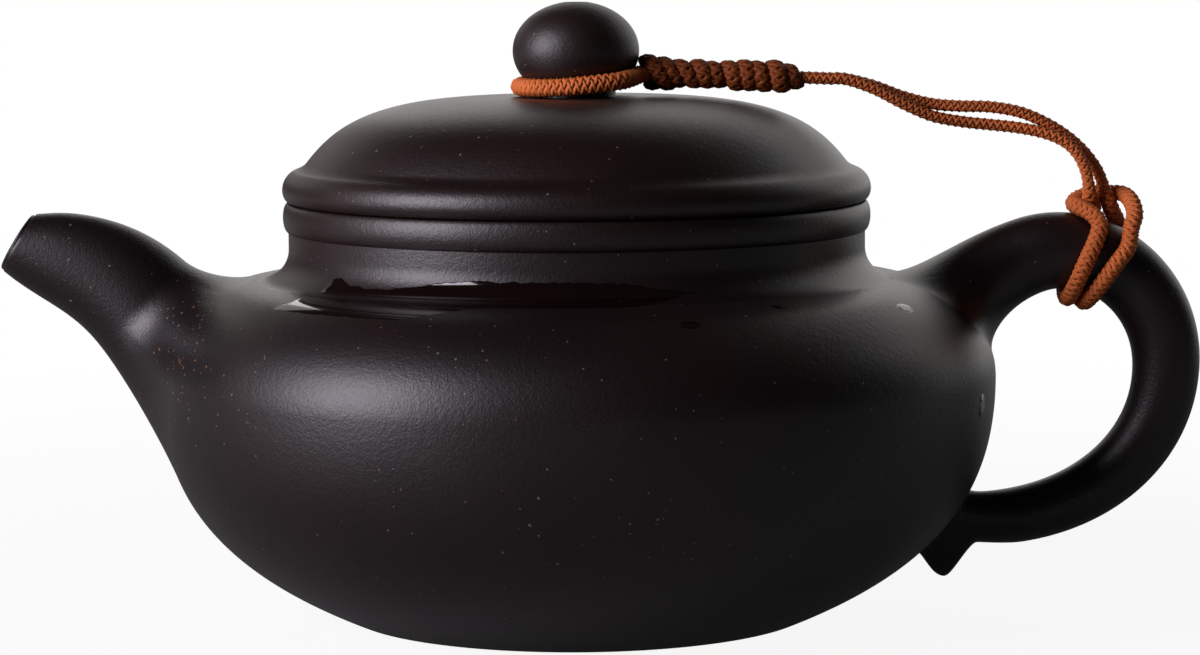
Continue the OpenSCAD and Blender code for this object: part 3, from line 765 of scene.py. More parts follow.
def braided(name, path, thickness, cord, look, stout):
    """A cord of braided yarns along a path, as a plain mesh object; stout is its thickness here and there."""
    tree = bpy.data.node_groups.get("BraidedCordAlongPath") or Braid().tree
    mesh = bpy.data.meshes.new(name + "_path")
    mesh.from_pydata([tuple(p) for p in path], [(i, i + 1) for i in range(len(path) - 1)], [])
    mesh.attributes.new("stout", "FLOAT", "POINT").data.foreach_set("value", stout)
    guide = bpy.data.objects.new(name + "_path", mesh)
    bpy.context.scene.collection.objects.link(guide)
    modifier = guide.modifiers.new("Braid", "NODES")
    modifier.node_group = tree
    values = {"Thickness": thickness, "Lay": cord.lay, "Step": cord.step, "Yarns": cord.yarns,
              "Finish": look}
    for item in tree.interface.items_tree:
        if item.item_type == "SOCKET" and item.in_out == "INPUT" and item.name in values:
            modifier[item.identifier] = values[item.name]
    graph = bpy.context.evaluated_depsgraph_get()
    graph.update()
    made = bpy.data.meshes.new_from_object(guide.evaluated_get(graph))
    bpy.data.objects.remove(guide)
    made.name = name
    work = bmesh.new()
    work.from_mesh(made)
    bmesh.ops.recalc_face_normals(work, faces=work.faces)
    work.to_mesh(made)
    work.free()
    piece = bpy.data.objects.new(name, made)
    bpy.context.scene.collection.objects.link(piece)
    return piece


def smooth_loop(points, per_step):
    """Closed smooth curve through the points."""
    points = np.array(points, float)
    before, after = np.roll(points, 1, axis=0), np.roll(points, -1, axis=0)
    way = (after - before) / 2
    steps = np.arange(per_step) / per_step
    return np.vstack([
        bridge(points[i], way[i], after[i], np.roll(way, -1, axis=0)[i], steps) for i in range(len(points))])


# The straight run through the winding, in millimetres: height at its start, slope down, and x of its start
CORD_Z = 65.6
CORD_DIP = 0.04
RUN_START = 9

# The noose, in millimetres: radius and height on the far side, what they gain towards the run, and its shift
NOOSE_R, NOOSE_OPEN = 6.5, 2.27
NOOSE_Z, NOOSE_LIFT = 63.95, 1.15
NOOSE_SHIFT = 0.3

# Thickness of the cord as a share: pressed broad in the noose and the hitch, slim on its run
NOOSE_STOUT, RUN_STOUT, HITCH_STOUT = 1.28, 0.86, 1.22


def run_z(x):
    """Height of the straight run at x, both in millimetres."""
    return CORD_Z - CORD_DIP * (x - RUN_START)


def cord_route(cord, handle_line):
    """The cord's route in millimetres: run, noose, run, outer strand, hitch and inner strand."""
    y = cord.strand_y / MM
    straight = [32.6, 30.6, 28.6, 24.6, 20.6, 16.6, 13, 10.4]
    noose = []
    for az in np.radians(np.linspace(-45.5, -314.5, 15)):
        k = ((1 + math.cos(az)) / 2) ** 2
        r = NOOSE_R + NOOSE_OPEN * k
        noose.append([r * math.cos(az) - NOOSE_SHIFT, r * math.sin(az), NOOSE_Z + NOOSE_LIFT * k])
    front = [[x, -y, run_z(x)] for x in straight]
    back = [[x, y, run_z(x)] for x in reversed(straight)]
    outer = [
        [36, 1, 63.8], [39.5, 1, 62.5], [43, 0.8, 61.6], [46.5, 0.4, 61.3], [50, 0.3, 61.2],
        [53.5, 0.4, 60.6], [56.5, 0.7, 59.4], [59.2, 1, 57.8], [61.3, 1, 56], [62.9, 1, 54],
        [63.7, 1, 52.4]]
    inner = [
        [61.9, -0.8, 52.3], [61.5, -0.8, 53.8], [60.7, -0.8, 55.4], [59.2, -0.8, 56.9], [56.8, -0.8, 58],
        [53.5, -0.6, 58.7], [50, -0.5, 59.1], [46.5, -0.6, 59.5], [43, -0.8, 60.2], [39.5, -1, 61.7],
        [36, -1, 63.5]]
    bight = [
        [66.8, -3.8, 46.8], [67.4, -2.4, 48.3], [67.2, -0.6, 49.7], [66.4, 1.6, 50.5], [64.8, 3.3, 50.5],
        [62.9, 3.5, 50.4], [61.2, 2.5, 49.9], [60.4, 0.6, 49.4], [60.8, -1.3, 49.1], [62, -2.9, 48.5],
        [62.9, -4.2, 47.2]]

    def turns(s0, s1, a0, a1, lean):
        """Part of a turn round the handle, from s0 to s1 along it and from a0 to a1 degrees round it."""
        steps = 12
        found = []
        for i in range(steps + 1):
            a = math.radians(mix(a0, a1, i / steps))
            s = mix(s0, s1, i / steps) - lean * (1 - math.cos(a)) / 2
            found.append(handle_line.beside(s, a, cord.cord_d))
        return found

    hitch = (
        [[64.1, 1, 51], [64.6, 1.1, 49.7], [65.2, 1.8, 48.3]] + turns(1.8, 2.9, 36, 300, 0.9) + bight
        + turns(-0.2, -1, 290, 36, 1.8) + [[62.8, 1.4, 48.9], [62.4, 0.2, 49.8], [62.1, -0.6, 50.9]])
    return (
        front + [[8.9, -1.36, 65.6], [7.7, -2.48, 65.33]] + noose + [[7.7, 2.48, 65.33], [8.9, 1.36, 65.6]]
        + back + outer + hitch + inner)


def stoutness(path):
    """Thickness along the cord as a share, from the noose by the run to the hitch."""
    # The noose ends between x 6 and 11, and the hitch begins between the heights 52.5 and 49.5
    x, z = path[:, 0] / MM, path[:, 2] / MM
    out_of_noose, into_hitch = smooth((x - 6) / 5), smooth((52.5 - z) / 3)
    return mix(mix(NOOSE_STOUT, RUN_STOUT, out_of_noose), HITCH_STOUT, into_hitch)


class HandleLine:
    """Middle line of the handle and the size of its section; t runs from 0 at the top, by 1, to 2."""

    # How far outside the belly the line starts, how much nearer it ends, and its directions with their pull
    ROOT_OUT = 3.8 * MM
    END_IN = 0.5 * MM
    BOW_PULL = 9.5 * MM
    START_WAY, START_PULL = unit(np.array([9.0, 0, 3.4])), 8.8 * MM
    END_WAY, END_PULL = unit(np.array([-9.5, 0, -1.7])), 10.5 * MM
    # Place t of the hitch, its gap to the clay, and about how many millimetres of the handle are 1 in t
    HITCH_AT = 0.33
    HITCH_GAP = 0.35 * MM
    HITCH_STRETCH = 25

    def __init__(self, pot, handle):
        self.handle = handle
        start = np.array([pot.belly_r + self.ROOT_OUT, 0, handle.top_z])
        bow = np.array([pot.belly_r + handle.reach, 0, handle.bow_z])
        end = np.array([pot.belly_r + self.ROOT_OUT - self.END_IN, 0, handle.foot_z])
        pull = np.array([0, 0, self.BOW_PULL])
        self.upper = [start, start + self.START_PULL * self.START_WAY, bow + pull, bow]
        self.lower = [bow, bow - pull, end - self.END_PULL * self.END_WAY, end]

    def middle(self, t):
        return cubic(*self.upper, t) if t < 1 else cubic(*self.lower, t - 1)

    def out(self, t):
        way = unit(cubic_way(*self.upper, t) if t < 1 else cubic_way(*self.lower, t - 1))
        return np.array([-way[2], 0, way[0]])

    def half(self, t):
        return mix(self.handle.top_half, self.handle.foot_half, t / 2)

    def ring(self, t, sides):
        half = self.half(t)
        return ring(self.middle(t), self.out(t), ACROSS, half, half * self.handle.width_share, sides)

    def beside(self, s, a, thickness):
        """A place in millimetres on the hitch: s along the handle, a round it from the top by the back."""
        t = self.HITCH_AT + s / self.HITCH_STRETCH
        over = thickness / 2 + self.HITCH_GAP
        half = self.half(t)
        place = (self.middle(t) + math.cos(a) * (half + over) * self.out(t)
                 + math.sin(a) * (half * self.handle.width_share + over) * ACROSS)
        return (place / MM).tolist()


# Pieces, one operator each


class Sizes:
    """The scene's size groups, with the belly and the heights that follow from them."""

    RIM_LOW_SHARE = 0.36

    def __init__(self, context):
        scene = context.scene
        self.pot, self.lid, self.spout = scene.teapot_pot, scene.teapot_lid, scene.teapot_spout
        self.handle, self.cord = scene.teapot_handle, scene.teapot_cord
        self.belly = Belly(self.pot)
        self.neck_top = self.pot.shoulder_z + self.pot.neck_h
        self.mouth_z = self.neck_top + self.pot.bead_h
        self.lid_z = self.mouth_z + self.lid.seat_gap
        self.rim_low_h = self.RIM_LOW_SHARE * self.lid.rim_h
        self.rim_middle = self.lid_z + self.rim_low_h
        self.dome_z = self.lid_z + self.lid.rim_h
        self.dome_top = self.dome_z + self.lid.dome_h
        self.rim_r = self.belly.neck_r + self.pot.bead_out + self.lid.rim_past
        self.dome_r = self.rim_r - self.lid.dome_step
        self.flange_r = self.pot.mouth_r - self.lid.flange_gap
        self.seam = self.belly.share_at(self.belly.neck_foot_r + self.pot.seam_out)


class TEAPOT_OT_tether(bpy.types.Operator):
    """Braided cord: a noose round the knob's stem, two strands and a hitch round the handle"""

    bl_idname = "teapot.tether"
    bl_label = "Tether cord"

    # Both ends of the cord meet inside the winding, halfway between these two points of the front strand
    meet_after, meet_before = 4, 5
    per_step = 8

    def execute(self, context):
        sizes = Sizes(context)
        route = cord_route(sizes.cord, HandleLine(sizes.pot, sizes.handle))
        path = smooth_loop(route, self.per_step) * MM
        first = (self.meet_after + self.meet_before) * self.per_step // 2
        path = np.roll(path, -first, axis=0)[1:-1]
        piece = braided("TetherCord", path, sizes.cord.braid_d, sizes.cord, cord_finish(), stoutness(path))
        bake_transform(piece)
        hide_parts("cord_noose", "cord_strand_outer", "cord_strand_inner", "cord_hitch")
        winding = wind(sizes)
        return {"FINISHED"}


# Radius of the winding's turns in millimetres: in the middle, what they gain beside the knob and in the later
# half, and what they lose at the end
WHIP_R, WHIP_NEAR_KNOB, WHIP_LATE, WHIP_END = 1.08, 0.5, 0.26, 0.5
# How far the turns beside the knob lean and how uneven the radius is, in millimetres, and how uneven the
# distance from turn to turn is, as a share of it
WHIP_LEAN, UNEVEN_R, UNEVEN_PITCH = 0.75, 0.1, 0.12


def wind(sizes):
    """Cord wound round the two strands: wide and leaning near the knob, slim in the middle."""
    cord = sizes.cord
    per_turn = 40
    i = np.arange(cord.whip_turns * per_turn + 1)
    k = i / i[-1]
    a = np.radians(180 + 360 * i / per_turn)
    near_knob, late, last = smooth(1 - k * 3), smooth((k - 0.45) / 0.35), smooth((k - 0.86) / 0.14)
    r = (WHIP_R + WHIP_NEAR_KNOB * near_knob + WHIP_LATE * late - WHIP_END * last) * MM
    # The two strands lie side by side, so the turns are stretched across them
    spread = np.sign(np.sin(a)) * (1 - (1 - np.abs(np.sin(a))) ** 3)
    uneven = np.sin(2.3 * i / per_turn) * smooth(k * 6) * smooth((1 - k) * 6)
    r = r + UNEVEN_R * MM * uneven
    x = cord.whip_pitch * (i / per_turn + UNEVEN_PITCH * uneven)
    lean = mix(WHIP_LEAN, 0.0, smooth(k * 1.8)) * MM
    path = np.column_stack([
        (x - lean * np.cos(a)) / cord.whip_flat, -r * np.sin(a) - cord.strand_y * spread,
        run_z((cord.whip_start + x) / MM) * MM + r * np.cos(a)])
    piece = braided("Winding", path, cord.whip_d, cord, wound_finish(), np.ones(len(path)))
    # The turns are pressed flat on the strands: stretched along them
    pressed = Matrix.Diagonal((cord.whip_flat, 1, 1, 1))
    piece.data.transform(Matrix.Translation((cord.whip_start, 0, 0)) @ pressed)
    dress(piece, "whipping", "cord", "cord_whipping")
    return piece


# Where the spout's bore opens on the belly: two places on its profile and half the width
BORE_LOW, BORE_HIGH, BORE_HALF = 1.03, 1.5, 5.8 * MM
# How far the edge and the underside of a foot lie in the belly's clay
FOOT_SINK = -0.012 * MM
SEAT_SINK = -0.25 * MM


class TEAPOT_OT_pot_body(bpy.types.Operator):
    """Base disc, belly wall, shoulder disc, neck ring and mouth bead"""

    bl_idname = "teapot.pot_body"
    bl_label = "Pot body"

    def execute(self, context):
        s = Sizes(context)
        pot, belly = s.pot, s.belly
        foot = belly.neck_r + pot.neck_round
        foot_z = belly.at(belly.share_at(foot))[1]
        seat = belly.inner(0.0)
        lathe("BaseDisc", [
            line((0, 0), (pot.base_r, 0)), np.vstack([belly.at(0.0), seat]), line(seat, (0, seat[1])),
            line((0, seat[1]), (0, 0))], "pot", "base_disc")
        low = np.linspace(0, s.seam, 150)
        wall = lathe("BellyWall", [
            belly.at(low), np.vstack([belly.at(s.seam), belly.inner(s.seam)]), belly.inner(low[::-2]),
            np.vstack([belly.inner(low[::-2][-1]), belly.at(0.0)])], "pot", "belly_wall")
        self.pierce(wall, s)
        high = np.linspace(s.seam, belly.share_at(foot), 50)
        under = belly.inner(high[-1])[1]
        lathe("ShoulderDisc", [
            belly.at(high), line((foot, foot_z), (pot.mouth_r, foot_z)),
            line((pot.mouth_r, foot_z), (pot.mouth_r, under)),
            line((pot.mouth_r, under), belly.inner(high[-1])), belly.inner(high[::-1]),
            np.vstack([belly.inner(s.seam), belly.at(s.seam)])], "pot", "shoulder_disc")
        fillet = arc((foot, foot_z + pot.neck_round), pot.neck_round, pot.neck_round, 270, 180, 40)
        side = np.linspace(fillet[-1, 1], s.neck_top, 12)[1:]
        lathe("NeckRing", [
            np.vstack([fillet, np.column_stack([np.full(len(side), belly.neck_r), side])]),
            line((belly.neck_r, s.neck_top), (pot.mouth_r, s.neck_top)),
            line((pot.mouth_r, s.neck_top), (pot.mouth_r, foot_z)),
            line((pot.mouth_r, foot_z), fillet[0])], "pot", "neck_ring")
        swell = arc((belly.neck_r, s.neck_top + pot.bead_h / 2), pot.bead_out, pot.bead_h / 2, -84, 84, 60)
        low_edge, top_edge = (belly.neck_r, s.neck_top), (belly.neck_r, s.mouth_z)
        lathe("MouthBead", [
            np.vstack([low_edge, swell, top_edge]), line(top_edge, (pot.mouth_r, s.mouth_z)),
            line((pot.mouth_r, s.mouth_z), (pot.mouth_r, s.neck_top)),
            line((pot.mouth_r, s.neck_top), low_edge)], "pot", "mouth_bead")
        return {"FINISHED"}

    def pierce(self, wall, s):
        """Cuts the round hole behind the spout that takes the strainer."""
        middle = s.belly.place(math.pi, (BORE_LOW + BORE_HIGH) / 2)
        leaning = Matrix.Rotation(s.spout.hole_rise - math.pi / 2, 4, "Y")
        work = bmesh.new()
        bmesh.ops.create_cone(
            work, cap_ends=True, segments=96, radius1=s.spout.hole_r, radius2=s.spout.hole_r,
            depth=6 * s.pot.wall, matrix=Matrix.Translation(Vector(middle)) @ leaning)
        mesh = bpy.data.meshes.new("StrainerHole")
        work.to_mesh(mesh)
        work.free()
        cutter = bpy.data.objects.new("StrainerHole", mesh)
        bpy.context.scene.collection.objects.link(cutter)
        cut = wall.modifiers.new("StrainerHole", "BOOLEAN")
        cut.operation, cut.solver, cut.object = "DIFFERENCE", "EXACT", cutter
        graph = bpy.context.evaluated_depsgraph_get()
        graph.update()
        pierced = bpy.data.meshes.new_from_object(wall.evaluated_get(graph))
        wall.modifiers.clear()
        pierced.set_sharp_from_angle(angle=CORNER)
        wall.data = pierced
        bpy.data.objects.remove(cutter)


class TEAPOT_OT_spout(bpy.types.Operator):
    """Curved spout whose foot runs out on to the belly"""

    bl_idname = "teapot.spout"
    bl_label = "Spout"

    sides = 112
    steps, flare_steps, seat_steps, lip_steps = 56, 64, 6, 14
    # How far the spout keeps its direction at the throat and at the tip
    throat_pull, tip_pull = 7 * MM, 5 * MM
    # Lowest place of the foot on the belly's profile, and the gap between its top and the neck
    foot_low, foot_gap = 0.6, 2.2 * MM
    # How far the edge of the lip is rounded back, and the power that makes it squarer than an arc
    lip_edge, lip_square = 0.42 * MM, 0.6

    def execute(self, context):
        s = Sizes(context)
        self.spout = s.spout
        throat = np.array([-s.pot.belly_r - s.spout.throat_out, 0, s.pot.belly_z + s.spout.throat_up])
        tip = throat + np.array([-s.spout.reach, 0, s.spout.rise])
        self.curve = [
            throat, throat + self.throat_pull * self.rising(s.spout.throat_rise),
            tip - self.tip_pull * self.rising(s.spout.tip_rise), tip]
        foot_high = s.belly.share_at(s.belly.neck_foot_r + self.foot_gap)
        foot = Foot(s.belly, math.pi, self.foot_low, foot_high, s.spout.foot_half, self.sides)
        n = self.steps
        outside = [self.ring(i / n, 0.0) for i in range(n, -1, -1)]
        # At its sides the spout may keep its own way for longer than at its top and underneath
        most = 1.0 + 0.6 * np.sin(foot.turn)[:, None] ** 2
        flare = foot.skirt(
            outside[-1], unit(outside[-1] - outside[-2]), pull=0.7, most=most, land=0.7,
            steps=self.flare_steps, lift=FOOT_SINK)
        seat = [
            foot.drawn_in(BORE_LOW, BORE_HIGH, BORE_HALF, i / self.seat_steps, SEAT_SINK)
            for i in range(self.seat_steps + 1)]
        inside = [self.ring(i / n, self.clay(i / n)) for i in range(n + 1)]
        rings = self.lip() + outside[2:] + flare + seat + inside[:-2]
        clay_object("Spout", np.vstack(rings), ring_faces(len(rings), self.sides, True), "pot", "spout")
        return {"FINISHED"}

    @staticmethod
    def rising(a):
        """Direction away from the pot that rises by the angle a."""
        return np.array([-math.cos(a), 0, math.sin(a)])

    def turn(self, t):
        """Angle that the section faces, which comes round to the slanted cut near the tip."""
        along = mix(self.spout.throat_rise, self.spout.tip_rise, t)
        return mix(along, self.spout.cut_rise, smooth((t - 0.6) / 0.4))

    def outer_half(self, t):
        """Half the outer height, which tapers faster towards the tip."""
        return mix(self.spout.throat_r, self.spout.tip_r, 0.55 * t + 0.45 * t ** 3)

    def side_half(self, t):
        """Half the outer width."""
        return mix(self.spout.throat_half, self.spout.tip_r, t)

    def clay(self, t):
        """Thickness of the clay."""
        return mix(self.spout.throat_wall, self.spout.tip_wall, t)

    def ring(self, t, less):
        a = self.turn(t)
        return ring(cubic(*self.curve, t), np.array([math.sin(a), 0, math.cos(a)]), -ACROSS,
                    self.outer_half(t) - less, self.side_half(t) - less, self.sides)

    def lip(self):
        """Rounded edge of the slanted cut, from the bore to the outside."""
        tip = self.curve[3]
        out = self.rising(self.spout.cut_rise)
        up = np.array([math.sin(self.spout.cut_rise), 0, math.cos(self.spout.cut_rise)])
        half = self.spout.tip_wall / 2
        middle = self.spout.tip_r - half
        rings = []
        for a in np.radians(np.linspace(180, 0, self.lip_steps + 1)):
            r = middle + half * np.sign(math.cos(a)) * abs(math.cos(a)) ** self.lip_square
            back = self.lip_edge * (1 - math.sin(a) ** self.lip_square)
            rings.append(ring(tip - back * out, up, -ACROSS, r, r, self.sides))
        return rings


class TEAPOT_OT_handle(bpy.types.Operator):
    """Ear handle with a tail pinched out under its foot"""

    bl_idname = "teapot.handle"
    bl_label = "Handle"

    sides = 80
    steps, top_steps, end_steps, seat_steps = 150, 48, 60, 4
    # Upper foot: its low place, gap to the neck and half width. Lower foot: its two places and half width
    top_low, top_gap, top_half = 1.12, 0.5 * MM, 11.5 * MM
    end_low, end_high, end_half = 0.6, 0.285, 3.6 * MM
    # Place of the tail on the lower foot, how far it spreads to either side, and the way it points
    tail_at, tail_before, tail_after = 0.57, 0.18, 0.38
    tail_way = unit(np.array([-0.25, 0, -1.0]))
    # How near to its middle the underside of a foot is drawn in before it is closed
    seat_share = 0.98

    def execute(self, context):
        s = Sizes(context)
        handle_line = HandleLine(s.pot, s.handle)
        top_high = s.belly.share_at(s.belly.neck_foot_r + self.top_gap)
        top = Foot(s.belly, 0.0, self.top_low, top_high, self.top_half, self.sides)
        end = Foot(s.belly, 0.0, self.end_low, self.end_high, self.end_half, self.sides)
        rings = [handle_line.ring(2 * i / self.steps, self.sides) for i in range(self.steps + 1)]
        top_skirt = top.skirt(
            rings[0], unit(rings[0] - rings[1]), pull=1.0, most=1.4, land=0.65, steps=self.top_steps,
            lift=FOOT_SINK)
        end_skirt = end.skirt(
            rings[-1], unit(rings[-1] - rings[-2]), pull=0.9, most=0.9, land=0.9, steps=self.end_steps,
            lift=FOOT_SINK)
        tailed = [
            r + self.tail_way * self.pinch(s.handle.tail_len, (i + 1) / self.end_steps)[:, None]
            for i, r in enumerate(end_skirt)]
        rings = self.seat(top)[::-1] + top_skirt[::-1] + rings + tailed + self.seat(end)
        clay_object("Handle", np.vstack(rings), ring_faces(len(rings), self.sides, False), "pot", "handle")
        return {"FINISHED"}

    def pinch(self, length, k):
        """How far each point of a ring is pulled out into the tail, a share k of the way down the foot."""
        turn = np.linspace(0, 2 * math.pi, self.sides, endpoint=False)
        spread = self.tail_before if k < self.tail_at else self.tail_after
        return length * np.maximum(np.cos(turn), 0) ** 3 * smooth(1 - abs(k - self.tail_at) / spread)

    def seat(self, foot):
        """Rings that close the foot inside the belly's clay."""
        middle = (foot.low + foot.high) / 2
        return [
            foot.drawn_in(middle, middle, 0.0, self.seat_share * i / self.seat_steps, SEAT_SINK)
            for i in range(self.seat_steps + 1)]


class TEAPOT_OT_lid(bpy.types.Operator):
    """Lid: rim, dome, flange and pierced knob"""

    bl_idname = "teapot.lid"
    bl_label = "Lid"

    # Where the hollow starts on the rim's curve, and the point of the dome's curve at which it ends
    hollow_from, sprung = math.radians(70), 5
    # Rounding under the rim, and the bevel that leads the flange into the mouth
    round_in, flange_lead = 0.9 * MM, 0.5 * MM
    # Handles of the dome's curve: in and up where it springs from the rim, and in at the height of its top
    spring_in, spring_up, crown_in = 3.2 * MM, 4.3 * MM, 7.2 * MM
    # Those of its underside, besides the dome's thickness, and where that starts as a share of the thickness
    under_up, under_crown_in, under_start = 3 * MM, 8 * MM, 1.2
    dome_flat_r = 10 * MM
    # How far the knob's oval is lowered, the slope between the stem and the oval, and the vent's rounded edge
    knob_sink, knob_undercut, vent_edge = 0.2 * MM, 0.4 * MM, 0.35 * MM

    def execute(self, context):
        s = Sizes(context)
        lid = s.lid
        inner = s.flange_r - lid.flange_wall
        below = arc((s.rim_r - self.round_in, s.rim_middle), self.round_in, s.rim_low_h, -86, 0, 24)
        above = arc((s.dome_r, s.rim_middle), s.rim_r - s.dome_r, s.dome_z - s.rim_middle, 0, 89, 40)
        lathe("LidRim", [
            np.vstack([below, above[1:]]), line(above[-1], (inner, s.dome_z)),
            line((inner, s.dome_z), (inner, s.lid_z)), line((inner, s.lid_z), below[0])], "lid", "lid_rim")
        self.dome(s)
        low = s.lid_z - lid.flange_depth
        corners = [
            (inner, low), (s.flange_r - self.flange_lead, low), (s.flange_r, low + self.flange_lead),
            (s.flange_r, s.lid_z), (inner, s.lid_z)]
        lathe("LidFlange", [
            line(a, b) for a, b in zip(corners, corners[1:] + corners[:1])], "lid", "lid_flange")
        self.knob(s)
        return {"FINISHED"}

    def hollow(self, s, dome):
        """Soft hollow from the rounded rim up to the dome, where it takes the dome's slope."""
        turn = self.hollow_from
        wide, high = s.rim_r - s.dome_r, s.dome_z - s.rim_middle
        start = np.array([s.dome_r + wide * math.cos(turn), s.rim_middle + high * math.sin(turn)])
        way = unit(np.array([-wide * math.sin(turn), high * math.cos(turn)]))
        end = dome[self.sprung]
        far = np.linalg.norm(end - start)
        slope = unit(end - dome[self.sprung - 1])
        return bridge(start, far * way, end, far * slope, np.linspace(0, 1, 24, endpoint=False))

    def dome(self, s):
        lid, r, z, top, flat = s.lid, s.dome_r, s.dome_z, s.dome_top, self.dome_flat_r
        t = np.linspace(0, 1, 90)
        outside = cubic(
            np.array([r, z]), np.array([r - self.spring_in, z + self.spring_up]),
            np.array([r - self.crown_in, top]), np.array([flat, top]), t)
        outside = np.vstack([self.hollow(s, outside), outside[self.sprung:]])
        under = top - lid.dome_wall
        inside = cubic(
            np.array([r - self.under_start * lid.dome_wall, z]),
            np.array([r - self.spring_in - lid.dome_wall, z + self.under_up]),
            np.array([r - self.under_crown_in - lid.dome_wall, under]), np.array([flat, under]), t)
        lathe("LidDome", [
            np.vstack([outside, [lid.vent_r, top]]), line((lid.vent_r, top), (lid.vent_r, under)),
            np.vstack([[lid.vent_r, under], inside[::-1]]), line(inside[0], outside[0])], "lid", "lid_dome")

    def knob(self, s):
        lid = s.lid
        middle = s.dome_top + lid.knob_h / 2 - self.knob_sink
        half = lid.knob_h / 2 + self.knob_sink
        first = -math.degrees(math.acos((lid.stem_r + self.knob_undercut) / lid.knob_r))
        edge = self.vent_edge
        last = math.degrees(math.acos((lid.vent_r + edge) / lid.knob_r))
        ball = arc((0, middle), lid.knob_r, half, first, last, 110)
        rounded = arc((lid.vent_r + edge, ball[-1, 1] - edge), edge, edge, 90, 180, 10)[1:]
        stem = line((lid.stem_r, s.dome_top), (lid.stem_r, ball[0, 1] - self.knob_undercut), ball[0])
        lathe("Knob", [
            stem, np.vstack([ball, rounded]), line(rounded[-1], (lid.vent_r, s.dome_top)),
            line((lid.vent_r, s.dome_top), (lid.stem_r, s.dome_top))], "lid", "knob")


class TEAPOT_OT_strainer(bpy.types.Operator):
    """Clay finish for the pierced strainer behind the spout"""

    bl_idname = "teapot.strainer"
    bl_label = "Strainer finish"

    def execute(self, context):
        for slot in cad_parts["strainer"].material_slots:
            slot.material = clay_finish()
        return {"FINISHED"}


# Name, the setting that holds its power, width and height, place in metres and colour of each soft lamp
LAMPS = (
    ("SoftBox", "window", (0.66, 0.92), (-0.97, -0.505, 0.40), (0.97, 0.92, 1.02)),
    ("BackLight", "back", (0.7, 0.38), (-0.43, 0.81, 0.37), (1.0, 0.97, 0.93)),
    ("BackWall", "wall", (1.8, 0.90), (0.5, 1.0, 0.46), (1.0, 0.98, 0.96)),
)
LAMP_AIM = (0, 0, 40 * MM)


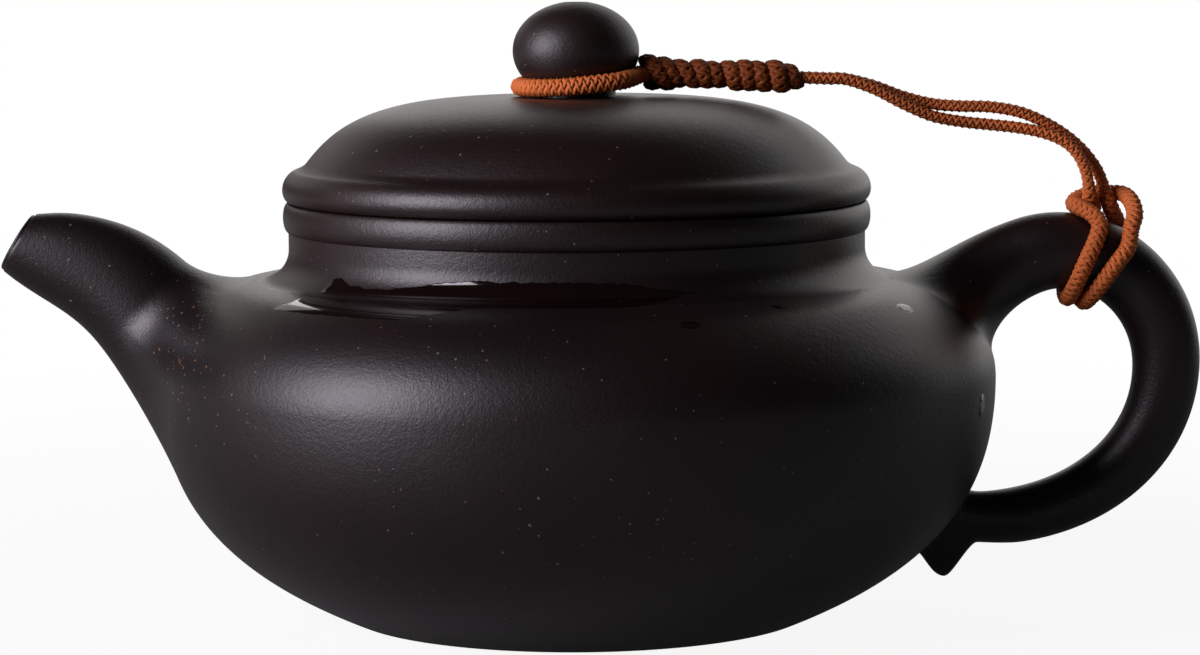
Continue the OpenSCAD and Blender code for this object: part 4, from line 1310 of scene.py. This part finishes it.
class TEAPOT_OT_stage(bpy.types.Operator):
    """Camera at the photograph's angle, pale floor and soft studio light"""

    bl_idname = "teapot.stage"
    bl_label = "Stage"

    camera_at = (2.75 * MM, -450 * MM, 82.56 * MM)
    camera_down, camera_roll = 0.106193, -0.0048
    floor_half, floor_drop = 15.0, 0.05 * MM

    def execute(self, context):
        scene, stage = context.scene, context.scene.teapot_stage
        scene.view_settings.view_transform = "Standard"
        self.camera(scene, stage)
        self.floor(scene, stage)
        world = bpy.data.worlds.new("Room")
        scene.world = world
        shader = Shader(world)
        light = shader.node("ShaderNodeBackground", None, {"Color": (1, 1, 1, 1), "Strength": stage.room})
        shader.node("ShaderNodeOutputWorld", None, {"Surface": light})
        for name, power, spread, place, colour in LAMPS:
            self.lamp(scene, name, getattr(stage, power), spread, place, colour)
        return {"FINISHED"}

    def camera(self, scene, stage):
        data = bpy.data.cameras.new("Camera")
        data.sensor_width, data.sensor_fit, data.lens = 36.0, "HORIZONTAL", stage.lens
        data.clip_start = 0.01
        camera = bpy.data.objects.new("Camera", data)
        camera.matrix_world = (
            Matrix.Translation(self.camera_at)
            @ Matrix.Rotation(math.pi / 2 - self.camera_down, 4, "X")
            @ Matrix.Rotation(self.camera_roll, 4, "Z"))
        scene.collection.objects.link(camera)
        scene.camera = camera

    def floor(self, scene, stage):
        half = self.floor_half
        corners = [(-half, -half, 0), (half, -half, 0), (half, half, 0), (-half, half, 0)]
        mesh = bpy.data.meshes.new("Floor")
        mesh.from_pydata(corners, [], [(0, 1, 2, 3)])
        floor = bpy.data.objects.new("Floor", mesh)
        floor.location.z = -self.floor_drop
        made = bpy.data.materials.new("PaleFloor")
        shader = Shader(made)
        where = shader.node("ShaderNodeTexCoord", None, None, "Object")
        away = shader.node("ShaderNodeVectorMath", {"operation": "LENGTH"}, {0: where}, "Value")
        far = away.rise(0.07, 0.3)
        rays = shader.tree.nodes.new("ShaderNodeLightPath")
        seen, glossy, through = (
            Term(shader, rays.outputs[name])
            for name in ("Is Camera Ray", "Is Glossy Ray", "Is Transmission Ray"))
        # Seen directly, the floor is white and keeps a part of the shadow. In the clay, the floor that is far
        # behind or to the right is faintly bright, and the floor near the pot is plain.
        right, behind = (
            shader.node("ShaderNodeSeparateXYZ", None, {0: where}, k).rise(low, high)
            for k, low, high in ((0, 0.15, 0.6), (1, -0.05, 0.3)))
        mirrored = glossy * (behind * 0.18 + right * 0.12) + through
        white = (seen * (0.91 + far * 0.09) + mirrored * far + glossy * 0.035).cap(1.0)
        plain = shader.node("ShaderNodeBsdfDiffuse", None, {
            "Color": shader.colour(seen, rgba(stage.bounce), rgba(stage.floor))})
        bright = shader.node("ShaderNodeEmission", None, {"Color": (1, 1, 1, 1), "Strength": 1.0})
        both = shader.node("ShaderNodeMixShader", None, {0: white, 1: plain, 2: bright})
        shader.node("ShaderNodeOutputMaterial", None, {"Surface": both})
        mesh.materials.append(made)
        scene.collection.objects.link(floor)
        floor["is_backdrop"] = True

    def lamp(self, scene, name, power, spread, place, colour):
        data = bpy.data.lights.new(name, "AREA")
        data.color = colour
        data.shape, data.size, data.size_y, data.energy = "RECTANGLE", *spread, power
        lamp = bpy.data.objects.new(name, data)
        lamp.location = place
        aim = Vector(LAMP_AIM) - Vector(place)
        lamp.rotation_euler = aim.to_track_quat("-Z", "Y").to_euler()
        scene.collection.objects.link(lamp)


class TEAPOT_PT_pieces(bpy.types.Panel):
    """Lists the pieces and their sizes"""

    bl_label = "Teapot"
    bl_idname = "TEAPOT_PT_pieces"
    bl_space_type = "VIEW_3D"
    bl_region_type = "UI"
    bl_category = "Teapot"

    def draw(self, context):
        for made in STEPS:
            self.layout.operator(made.bl_idname)
        for name, group in GROUPS.items():
            box = self.layout.box()
            box.label(text=group.__doc__)
            for value in group.__annotations__:
                box.prop(getattr(context.scene, name), value)


GROUPS = {
    "teapot_pot": PotSizes, "teapot_lid": LidSizes, "teapot_spout": SpoutSizes, "teapot_handle": HandleSizes,
    "teapot_cord": CordSizes, "teapot_finishes": Finishes, "teapot_stage": StageSettings,
}
STEPS = (
    TEAPOT_OT_stage, TEAPOT_OT_tether, TEAPOT_OT_pot_body, TEAPOT_OT_spout, TEAPOT_OT_handle, TEAPOT_OT_lid,
    TEAPOT_OT_strainer,
)


def register():
    for made in (*GROUPS.values(), *STEPS, TEAPOT_PT_pieces):
        bpy.utils.register_class(made)
    for name, group in GROUPS.items():
        setattr(bpy.types.Scene, name, bpy.props.PointerProperty(type=group))


def unregister():
    for name in GROUPS:
        delattr(bpy.types.Scene, name)
    for made in (TEAPOT_PT_pieces, *reversed(STEPS), *reversed(GROUPS.values())):
        bpy.utils.unregister_class(made)


def main():
    register()
    bpy.ops.teapot.stage()
    bpy.ops.teapot.tether()
    bpy.ops.teapot.pot_body()
    bpy.ops.teapot.spout()
    bpy.ops.teapot.handle()
    bpy.ops.teapot.lid()
    bpy.ops.teapot.strainer()
    boxes = {"cad": CAD_BOX, "visual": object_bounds()}
    {name: [list(corner) for corner in box] for name, box in boxes.items()}


if __name__ == "__main__":
    main()
